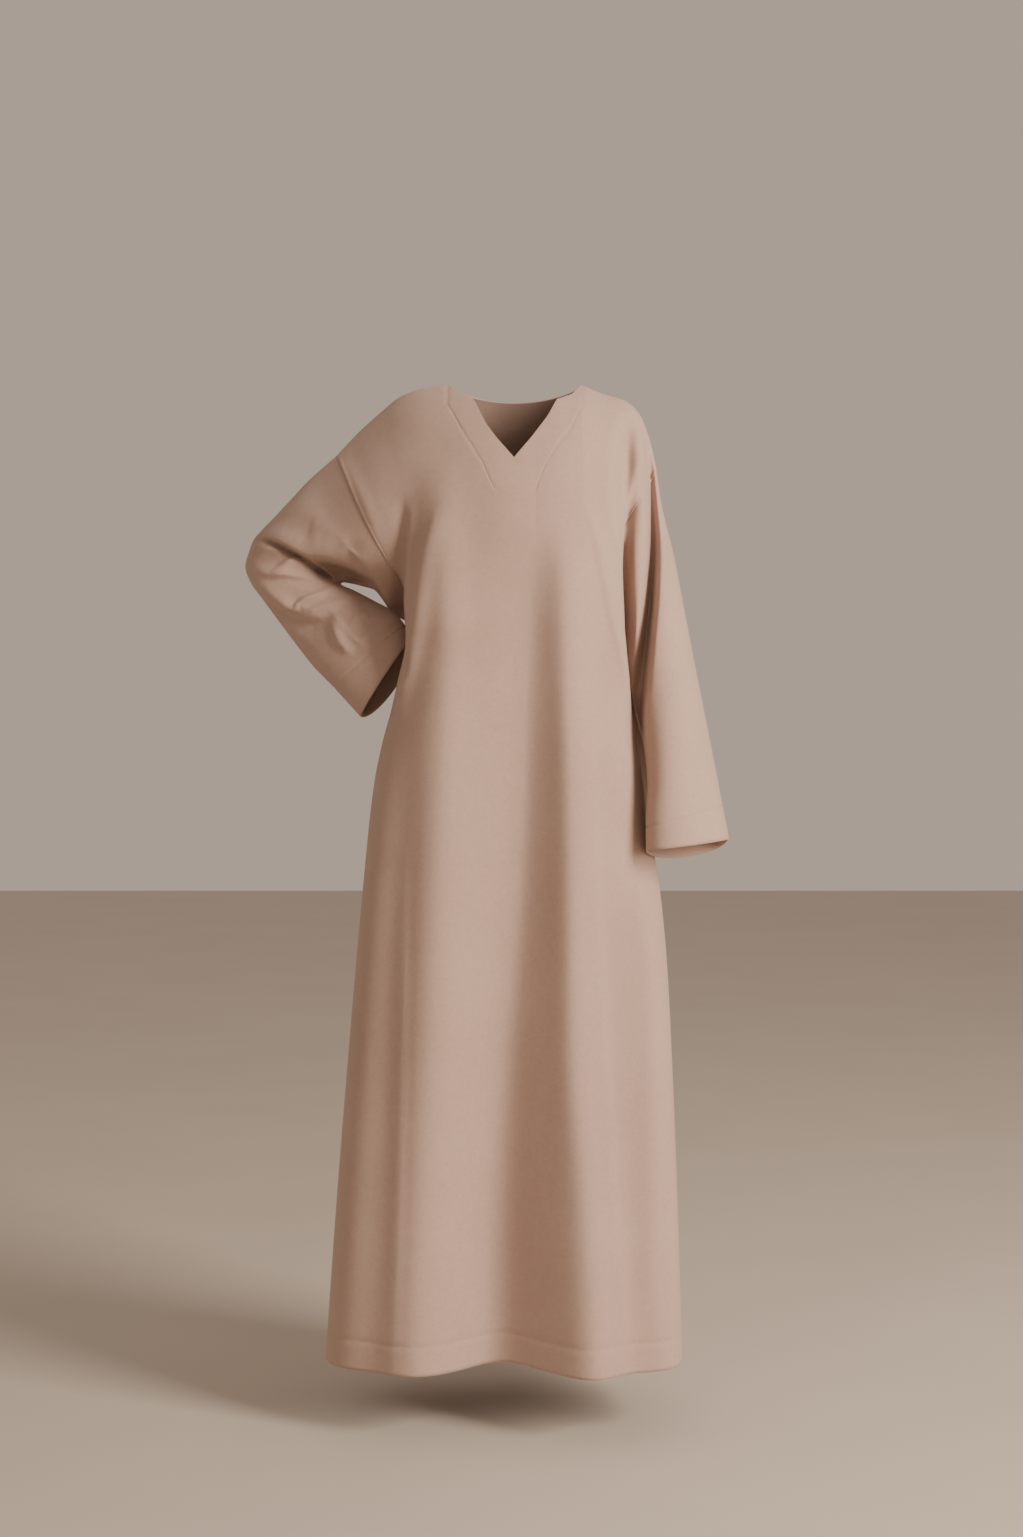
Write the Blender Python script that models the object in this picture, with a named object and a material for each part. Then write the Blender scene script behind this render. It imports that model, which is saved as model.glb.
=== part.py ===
"""A long closed abaya with a slit V neck, dropped shoulders and wide sleeves, hanging as it is worn.

Metres, +Z up. The wearer faces -Y, so the wearer's right side is at -X. The origin lies midway between the
two ends of the shoulder seams at the neck, where the shoulders carry the garment. Each piece is a wall of
cloth: a grid of outer points, a grid of inner points one thickness further in, and rims that join them.
"""

import math

import bpy
import numpy as np

# ---------------------------------------------------------------- driving dimensions
CLOTH = 0.0018  # thickness of one layer of cloth, pile included
TURNED_CLOTH = 0.0028  # thickness where a hem is turned up and stitched
FACING_CLOTH = 0.0012
SEAM_GAP = 0.0003  # between two pieces that are sewn together
HEM_TURN = 0.041  # depth of the turned hem, on the skirt and on each cuff

UNDERARM_Z = -0.350
HEM_Z = -1.405
HEM_LIFT = 0.012  # how much higher the hem hangs in the valley at centre front
SIDE_SEAM_Y = 0.012
BACK_NECK_DROP = 0.022

SKIRT_ROWS = 18
YOKE_ROWS = 14  # rows from the underarm to the shoulder, and half the points round a sleeve
FACING_ROW = 10  # the yoke row that follows the facing's lower edge
SLEEVE_ROWS = 25
SHOULDER_COLUMNS = 7  # columns of a panel on each side of the neck

# Sections of the body, from the bust down: the places of the side seams, how far a fold stands out beyond each
# of them in front (and behind, on the left, in the crook of the arm), how far the front and the back stand off
# them, and how square the front is (0 is a box and 1 an ellipse).
SECTION_COLUMNS = (
    *("z", "right_side", "left_side", "right_lip", "left_lip", "left_back_lip"),
    *("front", "back", "round"),
)
BODY_SECTIONS = (
    (-0.290, -0.156, 0.160, 0.004, 0.004, 0.000, 0.148, 0.104, 0.42),
    (-0.350, -0.146, 0.148, 0.012, 0.014, 0.000, 0.148, 0.104, 0.38),
    (-0.390, -0.139, 0.144, 0.020, 0.020, 0.012, 0.147, 0.105, 0.38),
    (-0.430, -0.157, 0.150, 0.013, 0.018, 0.038, 0.147, 0.108, 0.42),
    (-0.480, -0.178, 0.165, 0.004, 0.008, 0.038, 0.147, 0.114, 0.48),
    (-0.550, -0.195, 0.181, 0.000, 0.002, 0.027, 0.147, 0.122, 0.55),
    (-0.650, -0.207, 0.194, 0.000, 0.000, 0.010, 0.147, 0.134, 0.65),
    (-0.700, -0.212, 0.205, 0.000, 0.000, 0.002, 0.147, 0.139, 0.70),
    (-0.750, -0.217, 0.211, 0.000, 0.000, 0.000, 0.148, 0.144, 0.70),
    (-0.980, -0.238, 0.221, 0.000, 0.000, 0.000, 0.150, 0.160, 0.75),
    (-1.200, -0.256, 0.228, 0.000, 0.000, 0.000, 0.152, 0.174, 0.75),
    (-1.405, -0.270, 0.234, 0.000, 0.000, 0.000, 0.155, 0.186, 0.82),
)
YOKE_ROUND = 0.85  # how round the front is over the chest
LIP_ACROSS = 0.78

# The ridge of the shoulders, from the right armhole over the neck to the left armhole. across runs from -1
# to 1 over the panel; the stretch between the neck points is cut away by the neckline.
NECK_ACROSS = 0.45
RIDGE_COLUMNS = ("across", "x", "y", "z")
SHOULDER_RIDGE = (
    (-1.00, -0.261, 0.024, -0.104),
    (-0.88, -0.226, 0.019, -0.068),
    (-0.78, -0.194, 0.014, -0.040),
    (-0.69, -0.170, 0.011, -0.021),
    (-0.58, -0.140, 0.006, -0.009),
    (-0.45, -0.097, 0.000, -0.002),
    (0.00, -0.002, -0.004, 0.004),
    (0.45, 0.095, 0.000, -0.003),
    (0.58, 0.130, 0.006, -0.016),
    (0.69, 0.163, 0.011, -0.026),
    (0.78, 0.182, 0.014, -0.045),
    (0.88, 0.196, 0.017, -0.080),
    (1.00, 0.206, 0.020, -0.122),
)
CHEST_FALL = (3.0, 1.4)  # how the chest falls away from the ridge: larger is squarer above, smaller is flatter

# The armhole seam is a ring: the sheet bulges before and behind it, and it is cut in towards the chest.
ARMHOLE_BULGE = 0.066
ARMHOLE_SPREAD = 0.30  # the share of the half panel over which the cut dies away
ARMHOLE_TILT = 0.20  # how steeply the sheet leaves the armhole towards the chest
FRONT_CUT_RIGHT = -0.010
FRONT_CUT_LEFT = 0.027

# The front neckline, and the lower edge of the facing behind it.
EDGE_COLUMNS = ("x", "z")
FRONT_NECKLINE = (
    (-0.0975, -0.0020),
    (-0.0800, -0.0160),
    (-0.0621, -0.0257),
    (-0.0573, -0.0325),
    (-0.0412, -0.0667),
    (-0.0262, -0.0880),
    (-0.0014, -0.1171),
    (0.0241, -0.0860),
    (0.0464, -0.0548),
    (0.0598, -0.0287),
    (0.0822, -0.0195),
    (0.0955, -0.0030),
)
NOTCHES = (-0.0621, 0.0598)
SLIT_FOOT = -0.0014
FACING_EDGE = (
    (-0.100, -0.034),
    (-0.0926, -0.040),
    (-0.0771, -0.0722),
    (-0.0587, -0.1031),
    (-0.0438, -0.1285),
    (-0.0367, -0.1472),
    (-0.0290, -0.1635),
    (0.0290, -0.1635),
    (0.0424, -0.1275),
    (0.0567, -0.1031),
    (0.0789, -0.0726),
    (0.0948, -0.0388),
    (0.100, -0.034),
)
FACING_CORNERS = (-0.0290, 0.0290)

# Soft folds, where the cloth hangs off the bust, the shoulders and the hips. Each row is a point on a fold's
# line from its top down: how far the cloth stands out there (or in, where height is negative), and how wide the
# fold is towards either side.
FOLD_COLUMNS = ("x", "z", "height", "left", "right")
FRONT_FOLDS = (
    (
        (-0.095, -0.240, 0.000, 0.040, 0.035),
        (-0.106, -0.390, 0.006, 0.040, 0.035),
        (-0.113, -0.520, 0.011, 0.040, 0.036),
        (-0.120, -0.660, 0.015, 0.042, 0.038),
        (-0.122, -0.900, 0.018, 0.045, 0.040),
        (-0.112, -1.420, 0.026, 0.045, 0.040),
    ),
    (
        (-0.008, -0.360, 0.000, 0.040, 0.050),
        (-0.012, -0.480, -0.008, 0.045, 0.055),
        (-0.018, -0.680, -0.017, 0.045, 0.060),
        (-0.028, -0.980, -0.031, 0.040, 0.064),
        (-0.036, -1.420, -0.048, 0.036, 0.066),
    ),
    (
        (0.060, -0.240, 0.000, 0.040, 0.045),
        (0.068, -0.390, 0.007, 0.038, 0.050),
        (0.076, -0.660, 0.014, 0.036, 0.050),
        (0.078, -0.980, 0.020, 0.036, 0.050),
        (0.097, -1.420, 0.030, 0.042, 0.050),
    ),
    (
        (-0.175, -0.500, 0.000, 0.020, 0.024),
        (-0.194, -0.800, -0.010, 0.022, 0.028),
        (-0.214, -1.420, -0.026, 0.028, 0.034),
    ),
    (
        (0.182, -0.520, 0.000, 0.016, 0.020),
        (0.196, -0.900, -0.008, 0.018, 0.022),
        (0.205, -1.420, -0.026, 0.022, 0.028),
    ),
)
BACK_FOLDS = (
    (
        (-0.105, -0.280, 0.000, 0.045, 0.045),
        (-0.112, -0.480, 0.010, 0.045, 0.045),
        (-0.150, -1.420, 0.030, 0.050, 0.050),
    ),
    (
        (0.000, -0.420, 0.000, 0.040, 0.040),
        (0.010, -1.420, 0.026, 0.045, 0.045),
    ),
    (
        (0.095, -0.280, 0.000, 0.045, 0.045),
        (0.104, -0.480, 0.010, 0.045, 0.045),
        (0.140, -1.420, 0.030, 0.050, 0.050),
    ),
    (
        (-0.052, -0.500, 0.000, 0.032, 0.032),
        (-0.070, -1.420, -0.026, 0.036, 0.036),
    ),
    (
        (0.048, -0.500, 0.000, 0.032, 0.032),
        (0.078, -1.420, -0.024, 0.036, 0.036),
    ),
)

# Deep folds that cross the armhole seams on the front: in the crook of the bent right arm, and two beside the
# hanging left arm.
ARMHOLE_FOLDS = (
    (
        (-0.158, -0.180, 0.000, 0.018, 0.012),
        (-0.160, -0.230, -0.014, 0.018, 0.012),
        (-0.162, -0.285, -0.020, 0.018, 0.012),
        (-0.160, -0.350, -0.014, 0.018, 0.012),
        (-0.156, -0.430, 0.000, 0.018, 0.012),
    ),
    (
        (0.166, -0.060, 0.000, 0.014, 0.012),
        (0.161, -0.140, -0.012, 0.014, 0.012),
        (0.161, -0.230, -0.015, 0.014, 0.012),
        (0.164, -0.320, -0.011, 0.014, 0.012),
        (0.166, -0.402, 0.000, 0.014, 0.012),
    ),
    (
        (0.192, -0.060, 0.000, 0.013, 0.012),
        (0.197, -0.145, -0.012, 0.013, 0.012),
        (0.199, -0.240, -0.022, 0.014, 0.013),
        (0.192, -0.360, -0.026, 0.015, 0.014),
        (0.182, -0.450, -0.018, 0.015, 0.014),
        (0.178, -0.540, 0.000, 0.015, 0.014),
    ),
)
CROOK_FOLDS = (
    (
        (0.152, -0.210, 0.000, 0.012, 0.010),
        (0.153, -0.255, -0.018, 0.012, 0.010),
        (0.154, -0.300, -0.024, 0.012, 0.010),
        (0.156, -0.340, -0.018, 0.012, 0.010),
        (0.158, -0.400, 0.000, 0.012, 0.010),
    ),
)

# Sections of a sleeve past the armhole. outer is the edge on the shoulder side and inner the edge on the
# underarm side; depth is half the section's size front to back, and the leans are how far its front lies
# further up the arm than those edges, and its back further down.
SLEEVE_COLUMNS = (
    *("outer_x", "outer_y", "outer_z", "inner_x", "inner_y", "inner_z"),
    *("depth", "front_lean", "back_lean"),
)
RIGHT_SLEEVE = (
    (-0.302, 0.030, -0.139, -0.180, 0.012, -0.332, 0.064, 0.004, 0.004),
    (-0.330, 0.038, -0.168, -0.200, 0.022, -0.302, 0.059, 0.008, 0.008),
    (-0.356, 0.045, -0.195, -0.220, 0.030, -0.293, 0.054, 0.009, 0.009),
    (-0.375, 0.050, -0.214, -0.239, 0.037, -0.288, 0.051, 0.008, 0.008),
    (-0.385, 0.053, -0.226, -0.249, 0.041, -0.287, 0.049, 0.005, 0.005),
    (-0.391, 0.055, -0.241, -0.254, 0.043, -0.288, 0.048, 0.002, 0.002),
    (-0.397, 0.056, -0.263, -0.255, 0.043, -0.290, 0.047, 0.002, 0.002),
    (-0.389, 0.053, -0.287, -0.249, 0.041, -0.294, 0.047, 0.004, 0.004),
    (-0.370, 0.047, -0.313, -0.235, 0.036, -0.300, 0.047, 0.006, 0.006),
    (-0.338, 0.033, -0.355, -0.207, 0.026, -0.317, 0.047, 0.006, 0.008),
    (-0.294, 0.012, -0.410, -0.178, 0.008, -0.338, 0.046, 0.005, 0.011),
    (-0.264, -0.002, -0.440, -0.161, -0.002, -0.357, 0.045, 0.004, 0.014),
    (-0.223, -0.012, -0.484, -0.151, -0.010, -0.376, 0.045, 0.003, 0.017),
)
LEFT_SLEEVE = (
    (0.214, 0.016, -0.178, 0.157, 0.006, -0.388, 0.068, 0.000, 0.000),
    (0.230, 0.010, -0.245, 0.162, -0.008, -0.425, 0.067, 0.001, 0.002),
    (0.247, 0.004, -0.335, 0.172, -0.028, -0.470, 0.065, 0.001, 0.005),
    (0.266, -0.006, -0.437, 0.184, -0.052, -0.528, 0.062, 0.001, 0.010),
    (0.283, -0.014, -0.525, 0.188, -0.070, -0.582, 0.060, 0.002, 0.015),
    (0.297, -0.022, -0.600, 0.185, -0.082, -0.631, 0.059, 0.002, 0.019),
    (0.308, -0.028, -0.659, 0.185, -0.090, -0.671, 0.058, 0.002, 0.022),
)

MAUVE = (0.47, 0.31, 0.25, 1.0)


# ---------------------------------------------------------------- curves
def column(table, columns, name):
    return np.array([row[columns.index(name)] for row in table], float)


def smooth(xs, ys, at):
    """A smooth curve through the points (xs, ys), read at each of at: cubic, level where ys turns."""
    order = np.argsort(xs)
    xs, ys, at = np.asarray(xs, float)[order], np.asarray(ys, float)[order], np.asarray(at, float)
    steps = np.diff(ys) / np.diff(xs)
    slopes = np.concatenate([[steps[0]], (steps[:-1] + steps[1:]) / 2, [steps[-1]]])
    slopes[1:-1] = np.where(steps[:-1] * steps[1:] <= 0, 0, slopes[1:-1])
    i = np.clip(np.searchsorted(xs, at) - 1, 0, len(xs) - 2)
    h = xs[i + 1] - xs[i]
    t = (at - xs[i]) / h
    past = t - np.clip(t, 0, 1)
    t = np.clip(t, 0, 1)
    value = ys[i] * (1 + 2 * t) * (1 - t) ** 2 + ys[i + 1] * t**2 * (3 - 2 * t)
    value = value + slopes[i] * h * t * (1 - t) ** 2 - slopes[i + 1] * h * t**2 * (1 - t)
    return value + past * h * np.where(past < 0, slopes[i], slopes[i + 1])


def eased(t):
    t = np.clip(t, 0, 1)
    return t * t * (3 - 2 * t)


def unit(vectors):
    return vectors / np.maximum(np.linalg.norm(vectors, axis=-1, keepdims=True), 1e-12)


def traced(points):
    """A smooth line through a fold's points, every 12 mm, with its height and its two widths on the way."""
    points = np.array(points, float)
    run = np.concatenate([[0], np.cumsum(np.hypot(*np.diff(points[:, :2], axis=0).T))])
    at = np.linspace(0, run[-1], max(4, int(run[-1] / 0.012)) + 1)
    return np.stack([smooth(run, points[:, i], at) for i in range(points.shape[1])], axis=1)


def fold_lift(folds, x, z):
    """How far the folds lift the cloth at each point (x, z), seen from the front."""
    flat = np.stack([x.ravel(), z.ravel()], axis=1)
    total = np.zeros(len(flat))
    for fold in folds:
        line = traced(fold)
        reach = 2.6 * line[:, 3:].max()
        inside = (flat > line[:, :2].min(axis=0) - reach) & (flat < line[:, :2].max(axis=0) + reach)
        near = np.nonzero(inside.all(axis=1))[0]
        step = np.diff(line, axis=0)
        away = flat[near, None] - line[:-1, :2]
        share = np.clip((away * step[:, :2]).sum(axis=2) / (step[:, :2] ** 2).sum(axis=1), 0, 1)
        gap = np.linalg.norm(away - share[..., None] * step[:, :2], axis=2)
        best = gap.argmin(axis=1)
        each = np.arange(len(best))
        here = line[best] + share[each, best, None] * step[best]
        turn = step[best, 0] * away[each, best, 1] - step[best, 1] * away[each, best, 0]
        width = np.where(turn > 0, here[:, 4], here[:, 3])
        total[near] += here[:, 2] * np.exp(-((gap[each, best] / width) ** 2))
    return total.reshape(x.shape)


# ---------------------------------------------------------------- the body
def section(z, across, side, rounder=0.0):
    """A point of the body's section at height z. side is -1 for the front and 1 for the back."""
    heights = column(BODY_SECTIONS, SECTION_COLUMNS, "z")
    at = {name: smooth(heights, column(BODY_SECTIONS, SECTION_COLUMNS, name), z) for name in SECTION_COLUMNS[1:]}
    turn = across * math.pi / 2
    right, left = at["right_side"], at["left_side"]
    x = (left + right) / 2 + (left - right) / 2 * np.sin(turn)
    bell = np.exp(-(((np.abs(across) - LIP_ACROSS) / 0.16) ** 2)) * eased((1 - np.abs(across)) / 0.15)
    if side > 0:
        x = x + np.where(across < 0, 0, at["left_back_lip"]) * bell
        return x, SIDE_SEAM_Y + at["back"] * np.cos(turn) ** 0.9
    x = x + np.where(across < 0, -at["right_lip"], at["left_lip"]) * bell
    power = at["round"] + (YOKE_ROUND - at["round"]) * rounder
    return x, SIDE_SEAM_Y - at["front"] * np.maximum(np.cos(turn), 0) ** power


def ridge(across):
    places = column(SHOULDER_RIDGE, RIDGE_COLUMNS, "across")
    return [smooth(places, column(SHOULDER_RIDGE, RIDGE_COLUMNS, name), across) for name in "xyz"]


def higher(first, second, blend):
    """The higher of two heights, rounded over where they cross."""
    return np.maximum(first, second) + np.maximum(blend - np.abs(first - second), 0) ** 2 / (4 * blend + 1e-9)


def yoke(across, rise, side):
    """A point of the sheet above the underarm. rise is 0 at the underarm and 1 on the ridge of the shoulders."""
    x0, y0 = section(np.full_like(across, UNDERARM_Z), across, side, eased(rise / 0.5))
    x_below, _ = section(np.full_like(across, UNDERARM_Z - 0.01), across, side)
    x1, y1, z1 = ridge(across)
    tall = z1 - UNDERARM_Z
    leaving = (x0 - x_below) / 0.01 * tall * 0.5
    x = x0 * (1 + 2 * rise) * (1 - rise) ** 2 + x1 * rise**2 * (3 - 2 * rise)
    x = x + leaving * rise * (1 - rise) ** 2 - (x1 - x0) * rise**2 * (1 - rise)
    near = eased((np.abs(across) - 1 + ARMHOLE_SPREAD) / ARMHOLE_SPREAD)
    arch = np.sin(math.pi * np.clip(rise, 0, 1))
    if side < 0:
        x = x + np.where(across < 0, FRONT_CUT_RIGHT, -FRONT_CUT_LEFT) * near * arch**2
    square, flat = CHEST_FALL
    fall = np.clip(1 - np.clip(rise, 0, 1) ** square, 0, 1) ** (1 / flat)
    end_y = ridge(np.sign(across))[1]
    inward = 1 - np.abs(across)
    out = ARMHOLE_BULGE + ARMHOLE_TILT * inward * np.exp(-inward / 0.3)
    seam = end_y + (SIDE_SEAM_Y - end_y) * fall + side * out * arch**0.9
    y = side * higher(side * (y1 + (y0 - y1) * fall), side * seam, 0.03 * arch)
    return np.stack([x, y, UNDERARM_Z + tall * rise], axis=-1)


def neckline(x, side):
    xs, zs = column(FRONT_NECKLINE, EDGE_COLUMNS, "x"), column(FRONT_NECKLINE, EDGE_COLUMNS, "z")
    if side < 0:
        return np.interp(x, xs, zs)
    share = np.clip((x - xs[0]) / (xs[-1] - xs[0]), 0, 1)
    return np.interp(x, xs[[0, -1]], zs[[0, -1]]) - BACK_NECK_DROP * np.sin(math.pi * share) ** 0.6


def facing_edge(x, side):
    return np.interp(x, column(FACING_EDGE, EDGE_COLUMNS, "x"), column(FACING_EDGE, EDGE_COLUMNS, "z"))


def rise_to(edge, across, side):
    """How far up the yoke each column runs before it meets an edge given as a height at each x."""
    low, high = np.zeros_like(across), np.ones_like(across)
    for _ in range(40):
        rise = (low + high) / 2
        p = yoke(across, rise, side)
        above = p[..., 2] > edge(p[..., 0], side)
        high = np.where(above, rise, high)
        low = np.where(above, low, rise)
    return high


def across_at(x, z):
    """The column of the front that passes through (x, z)."""
    low, high = -1.0, 1.0
    for _ in range(50):
        across = np.array([(low + high) / 2])
        rise = np.clip((z - UNDERARM_Z) / (ridge(across)[2] - UNDERARM_Z), 0, 1)
        if yoke(across, rise, -1)[0, 0] < x:
            low = across[0]
        else:
            high = across[0]
    return (low + high) / 2


def columns_across(side):
    """Places of a panel's columns from -1 to 1. The front has one on each corner of the neckline and the facing."""
    outer = np.linspace(-1, -NECK_ACROSS, SHOULDER_COLUMNS + 1)
    if side > 0:
        middle = np.linspace(-NECK_ACROSS, NECK_ACROSS, 13)
    else:
        corners = [NOTCHES[0], FACING_CORNERS[0], SLIT_FOOT, FACING_CORNERS[1], NOTCHES[1]]
        heights = [neckline(x, -1) for x in corners]
        heights[1] = heights[3] = facing_edge(FACING_CORNERS[0], -1)
        stops = [-NECK_ACROSS] + [across_at(x, z) for x, z in zip(corners, heights)] + [NECK_ACROSS]
        parts = [np.linspace(a, b, n, endpoint=False) for a, b, n in zip(stops, stops[1:], (2, 2, 2, 2, 2, 2))]
        middle = np.concatenate(parts + [[NECK_ACROSS]])
    return np.concatenate([outer[:-1], middle, -outer[::-1][1:]])


def yoke_shares(across, side):
    """The share of each column's height at each yoke row, from 0 at the underarm to 1 at the top."""
    plain = (1 - np.cos(math.pi * np.arange(YOKE_ROWS + 1) / YOKE_ROWS)) / 2
    turn = plain[FACING_ROW]
    at = np.full_like(across, turn)
    if side < 0:
        inside = np.clip(across, -NECK_ACROSS, NECK_ACROSS)
        own = rise_to(facing_edge, inside, -1) / rise_to(neckline, inside, -1)
        at = turn + (own - turn) * (1 - eased((np.abs(across) - NECK_ACROSS) / 0.25))
    below = plain[: FACING_ROW + 1, None] / turn * at
    above = at + (1 - at) * ((plain[FACING_ROW + 1 :, None] - turn) / (1 - turn))
    return np.concatenate([below, above])


def hem_height(x, side):
    return HEM_Z + (HEM_LIFT * np.exp(-(((x + 0.006) / 0.060) ** 2)) if side < 0 else 0 * x)


def panel(side):
    """The outer points of the front (side -1) or the back (side 1): rows from the hem up, columns towards +X."""
    across = columns_across(side)
    hem = hem_height(section(np.full_like(across, HEM_Z), across, side)[0], side)
    shares = np.concatenate([[0], np.linspace(HEM_TURN / (UNDERARM_Z - HEM_Z), 1, SKIRT_ROWS)[:-1]])
    skirt = []
    for share in shares:
        z = hem + (UNDERARM_Z - hem) * share
        x, y = section(z, across, side)
        skirt.append(np.stack([x, y, z], axis=-1))
    top = np.where(np.abs(across) < NECK_ACROSS - 1e-9, rise_to(neckline, across, side), 1.0)
    rises = top * yoke_shares(across, side)
    base = np.array(skirt + [yoke(across, rise, side) for rise in rises])
    height = fold_lift(FRONT_FOLDS if side < 0 else BACK_FOLDS, base[..., 0], base[..., 2])
    height = height * eased((1 - np.abs(across)) / 0.12)
    height[-YOKE_ROWS - 1 :] *= eased((1 - rises) / 0.15)
    return base + panel_normals(base, side) * height[..., None]


def panel_normals(grid, side):
    return -side * unit(np.cross(np.gradient(grid, axis=1), np.gradient(grid, axis=0)))


def panel_depths(grid, side):
    """The inward direction and the thickness at each point of a panel. Edges that meet another piece lie square."""
    normals = panel_normals(grid, side)
    normals[:, [0, -1], 1] = 0
    shoulder = np.abs(columns_across(side)) >= NECK_ACROSS - 1e-9
    normals[-1, shoulder, 1] = 0
    thick = np.full(grid.shape[:2], CLOTH)
    thick[:2] = TURNED_CLOTH
    return unit(normals), thick


# ---------------------------------------------------------------- the sleeves
def armhole(front, back, at):
    """The ring of the armhole: up the front from the underarm to the shoulder, and down the back."""
    return np.concatenate([front[-YOKE_ROWS - 1 :, at], back[-YOKE_ROWS - 1 :, at][::-1][1:-1]])


def sleeve(ring, table):
    """The outer points of a sleeve: one ring for each row, from the armhole's own ring to the cuff."""
    half = len(ring) // 2
    turn = math.pi * (1 - np.arange(2 * half) / half)
    first = (*ring[half], *ring[0], ARMHOLE_BULGE, 0.0, 0.0)
    values = np.array((first,) + tuple(table))
    runs = np.linalg.norm(np.diff(values[:, :3], axis=0), axis=1)
    runs = runs + np.linalg.norm(np.diff(values[:, 3:6], axis=0), axis=1)
    reach = np.concatenate([[0], np.cumsum(runs)])
    along = np.linspace(0, 1, SLEEVE_ROWS + 1)
    rows = np.stack([smooth(reach / reach[-1], values[:, i], along) for i in range(values.shape[1])], axis=1)
    rings = []
    for outer, inner, depth, front_lean, back_lean in zip(rows[:, :3], rows[:, 3:6], *rows[:, 6:].T):
        radius = (outer - inner) / 2
        down = unit(np.cross([0, 1, 0], radius)) * np.sign(radius[0])
        lean = np.where(turn > 0, -front_lean, back_lean) * np.abs(np.sin(turn))
        ring_here = (outer + inner) / 2 + np.cos(turn)[:, None] * radius + lean[:, None] * down
        rings.append(ring_here - np.sin(turn)[:, None] * np.array([0, depth, 0]))
    rings = np.array(rings)
    return rings + (ring - rings[0]) * (1 - eased(along / 0.30))[:, None, None]


def ring_share(turn):
    """How much of a fold the sleeve takes at each place round it: all of it on the front, none on the back."""
    return eased(np.sin(turn) / 0.5)


def pleated(grid, folds, share):
    """The grid with the folds pushed straight forward, or back where their height is negative."""
    moved = grid.copy()
    moved[..., 1] -= fold_lift(folds, grid[..., 0], grid[..., 2]) * share
    return moved


def tube_normals(grid):
    along = np.roll(grid, -1, axis=1) - np.roll(grid, 1, axis=1)
    normals = unit(np.cross(along, np.gradient(grid, axis=0)))
    out = grid - grid.mean(axis=1, keepdims=True)
    return normals * np.sign((normals * out).sum())


# ---------------------------------------------------------------- walls
def wall(name, outer, inner, flip, closed=False):
    """A closed wall between two grids of points. Both faces split along the same diagonals."""
    rows, cols = outer.shape[:2]
    points = np.concatenate([outer.reshape(-1, 3), inner.reshape(-1, 3)])
    index = np.arange(rows * cols).reshape(rows, cols)
    lift = rows * cols
    faces = []
    last = cols if closed else cols - 1
    for r in range(rows - 1):
        for c in range(last):
            a, b = index[r, c], index[r, (c + 1) % cols]
            d, e = index[r + 1, c], index[r + 1, (c + 1) % cols]
            faces.append((a, b, e, d))
            faces.append((a + lift, d + lift, e + lift, b + lift))
    for c in range(last):
        a, b = index[0, c], index[0, (c + 1) % cols]
        behind = closed and c >= cols // 2
        faces.append((b, a, a + lift, b + lift) if behind else (a, a + lift, b + lift, b))
        d, e = index[-1, c], index[-1, (c + 1) % cols]
        faces.append((d, e, e + lift, d + lift))
    if not closed:
        for r in range(rows - 1):
            a, d = index[r, 0], index[r + 1, 0]
            faces.append((a, d, d + lift, a + lift))
            b, e = index[r, -1], index[r + 1, -1]
            faces.append((b, b + lift, e + lift, e))
    if flip:
        faces = [(f[0], f[3], f[2], f[1]) for f in faces]
    mesh = bpy.data.meshes.new(name)
    mesh.from_pydata(points.tolist(), [], [tuple(int(i) for i in f) for f in faces])
    mesh.update()
    obj = bpy.data.objects.new(name, mesh)
    bpy.context.scene.collection.objects.link(obj)
    return obj


def cloth(obj):
    material = bpy.data.materials.new(obj.name + "_cloth")
    material.use_nodes = True
    shader = material.node_tree.nodes["Principled BSDF"]
    shader.inputs["Base Color"].default_value = MAUVE
    shader.inputs["Roughness"].default_value = 0.85
    shader.inputs["Metallic"].default_value = 0.0
    obj.data.materials.append(material)


def clear_scene():
    for obj in list(bpy.data.objects):
        bpy.data.objects.remove(obj, do_unlink=True)


clear_scene()

front, back = panel(-1), panel(1)
sleeves = {
    "sleeve_right": sleeve(armhole(front, back, 0), RIGHT_SLEEVE),
    "sleeve_left": sleeve(armhole(front, back, -1), LEFT_SLEEVE),
}
turn = math.pi * (1 - np.arange(2 * YOKE_ROWS) / YOKE_ROWS)
from_seam = np.arange(SLEEVE_ROWS + 1)[:, None] / SLEEVE_ROWS
taken = {"sleeve_right": 1 - eased((from_seam - 0.15) / 0.1), "sleeve_left": 1.0}
for name, rings in sleeves.items():
    sleeves[name] = pleated(rings, ARMHOLE_FOLDS, ring_share(turn) * taken[name])
sleeves["sleeve_left"] = pleated(sleeves["sleeve_left"], CROOK_FOLDS, ring_share(turn) * eased(from_seam / 0.05))
at_ring = np.zeros(len(front))
at_ring[-YOKE_ROWS - 1 :] = ring_share(turn[: YOKE_ROWS + 1])
inward = eased((1 - np.abs(columns_across(-1))) / 0.15)
inward = np.where(np.arange(len(front))[:, None] > len(front) - YOKE_ROWS / 2, 0, inward)
front = pleated(front, ARMHOLE_FOLDS, 1 - (1 - at_ring[:, None]) * (1 - inward))
front_in, front_thick = panel_depths(front, -1)
back_in, back_thick = panel_depths(back, 1)

# The two panels draw back from each other at the side seams and along the shoulders.
for grid, side in ((front, -1), (back, 1)):
    square = np.zeros(grid.shape[:2])
    square[: -YOKE_ROWS, [0, -1]] = 1
    square[-1, np.abs(columns_across(side)) >= NECK_ACROSS - 1e-9] = 1
    grid[..., 1] += side * SEAM_GAP / 2 * square

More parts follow.
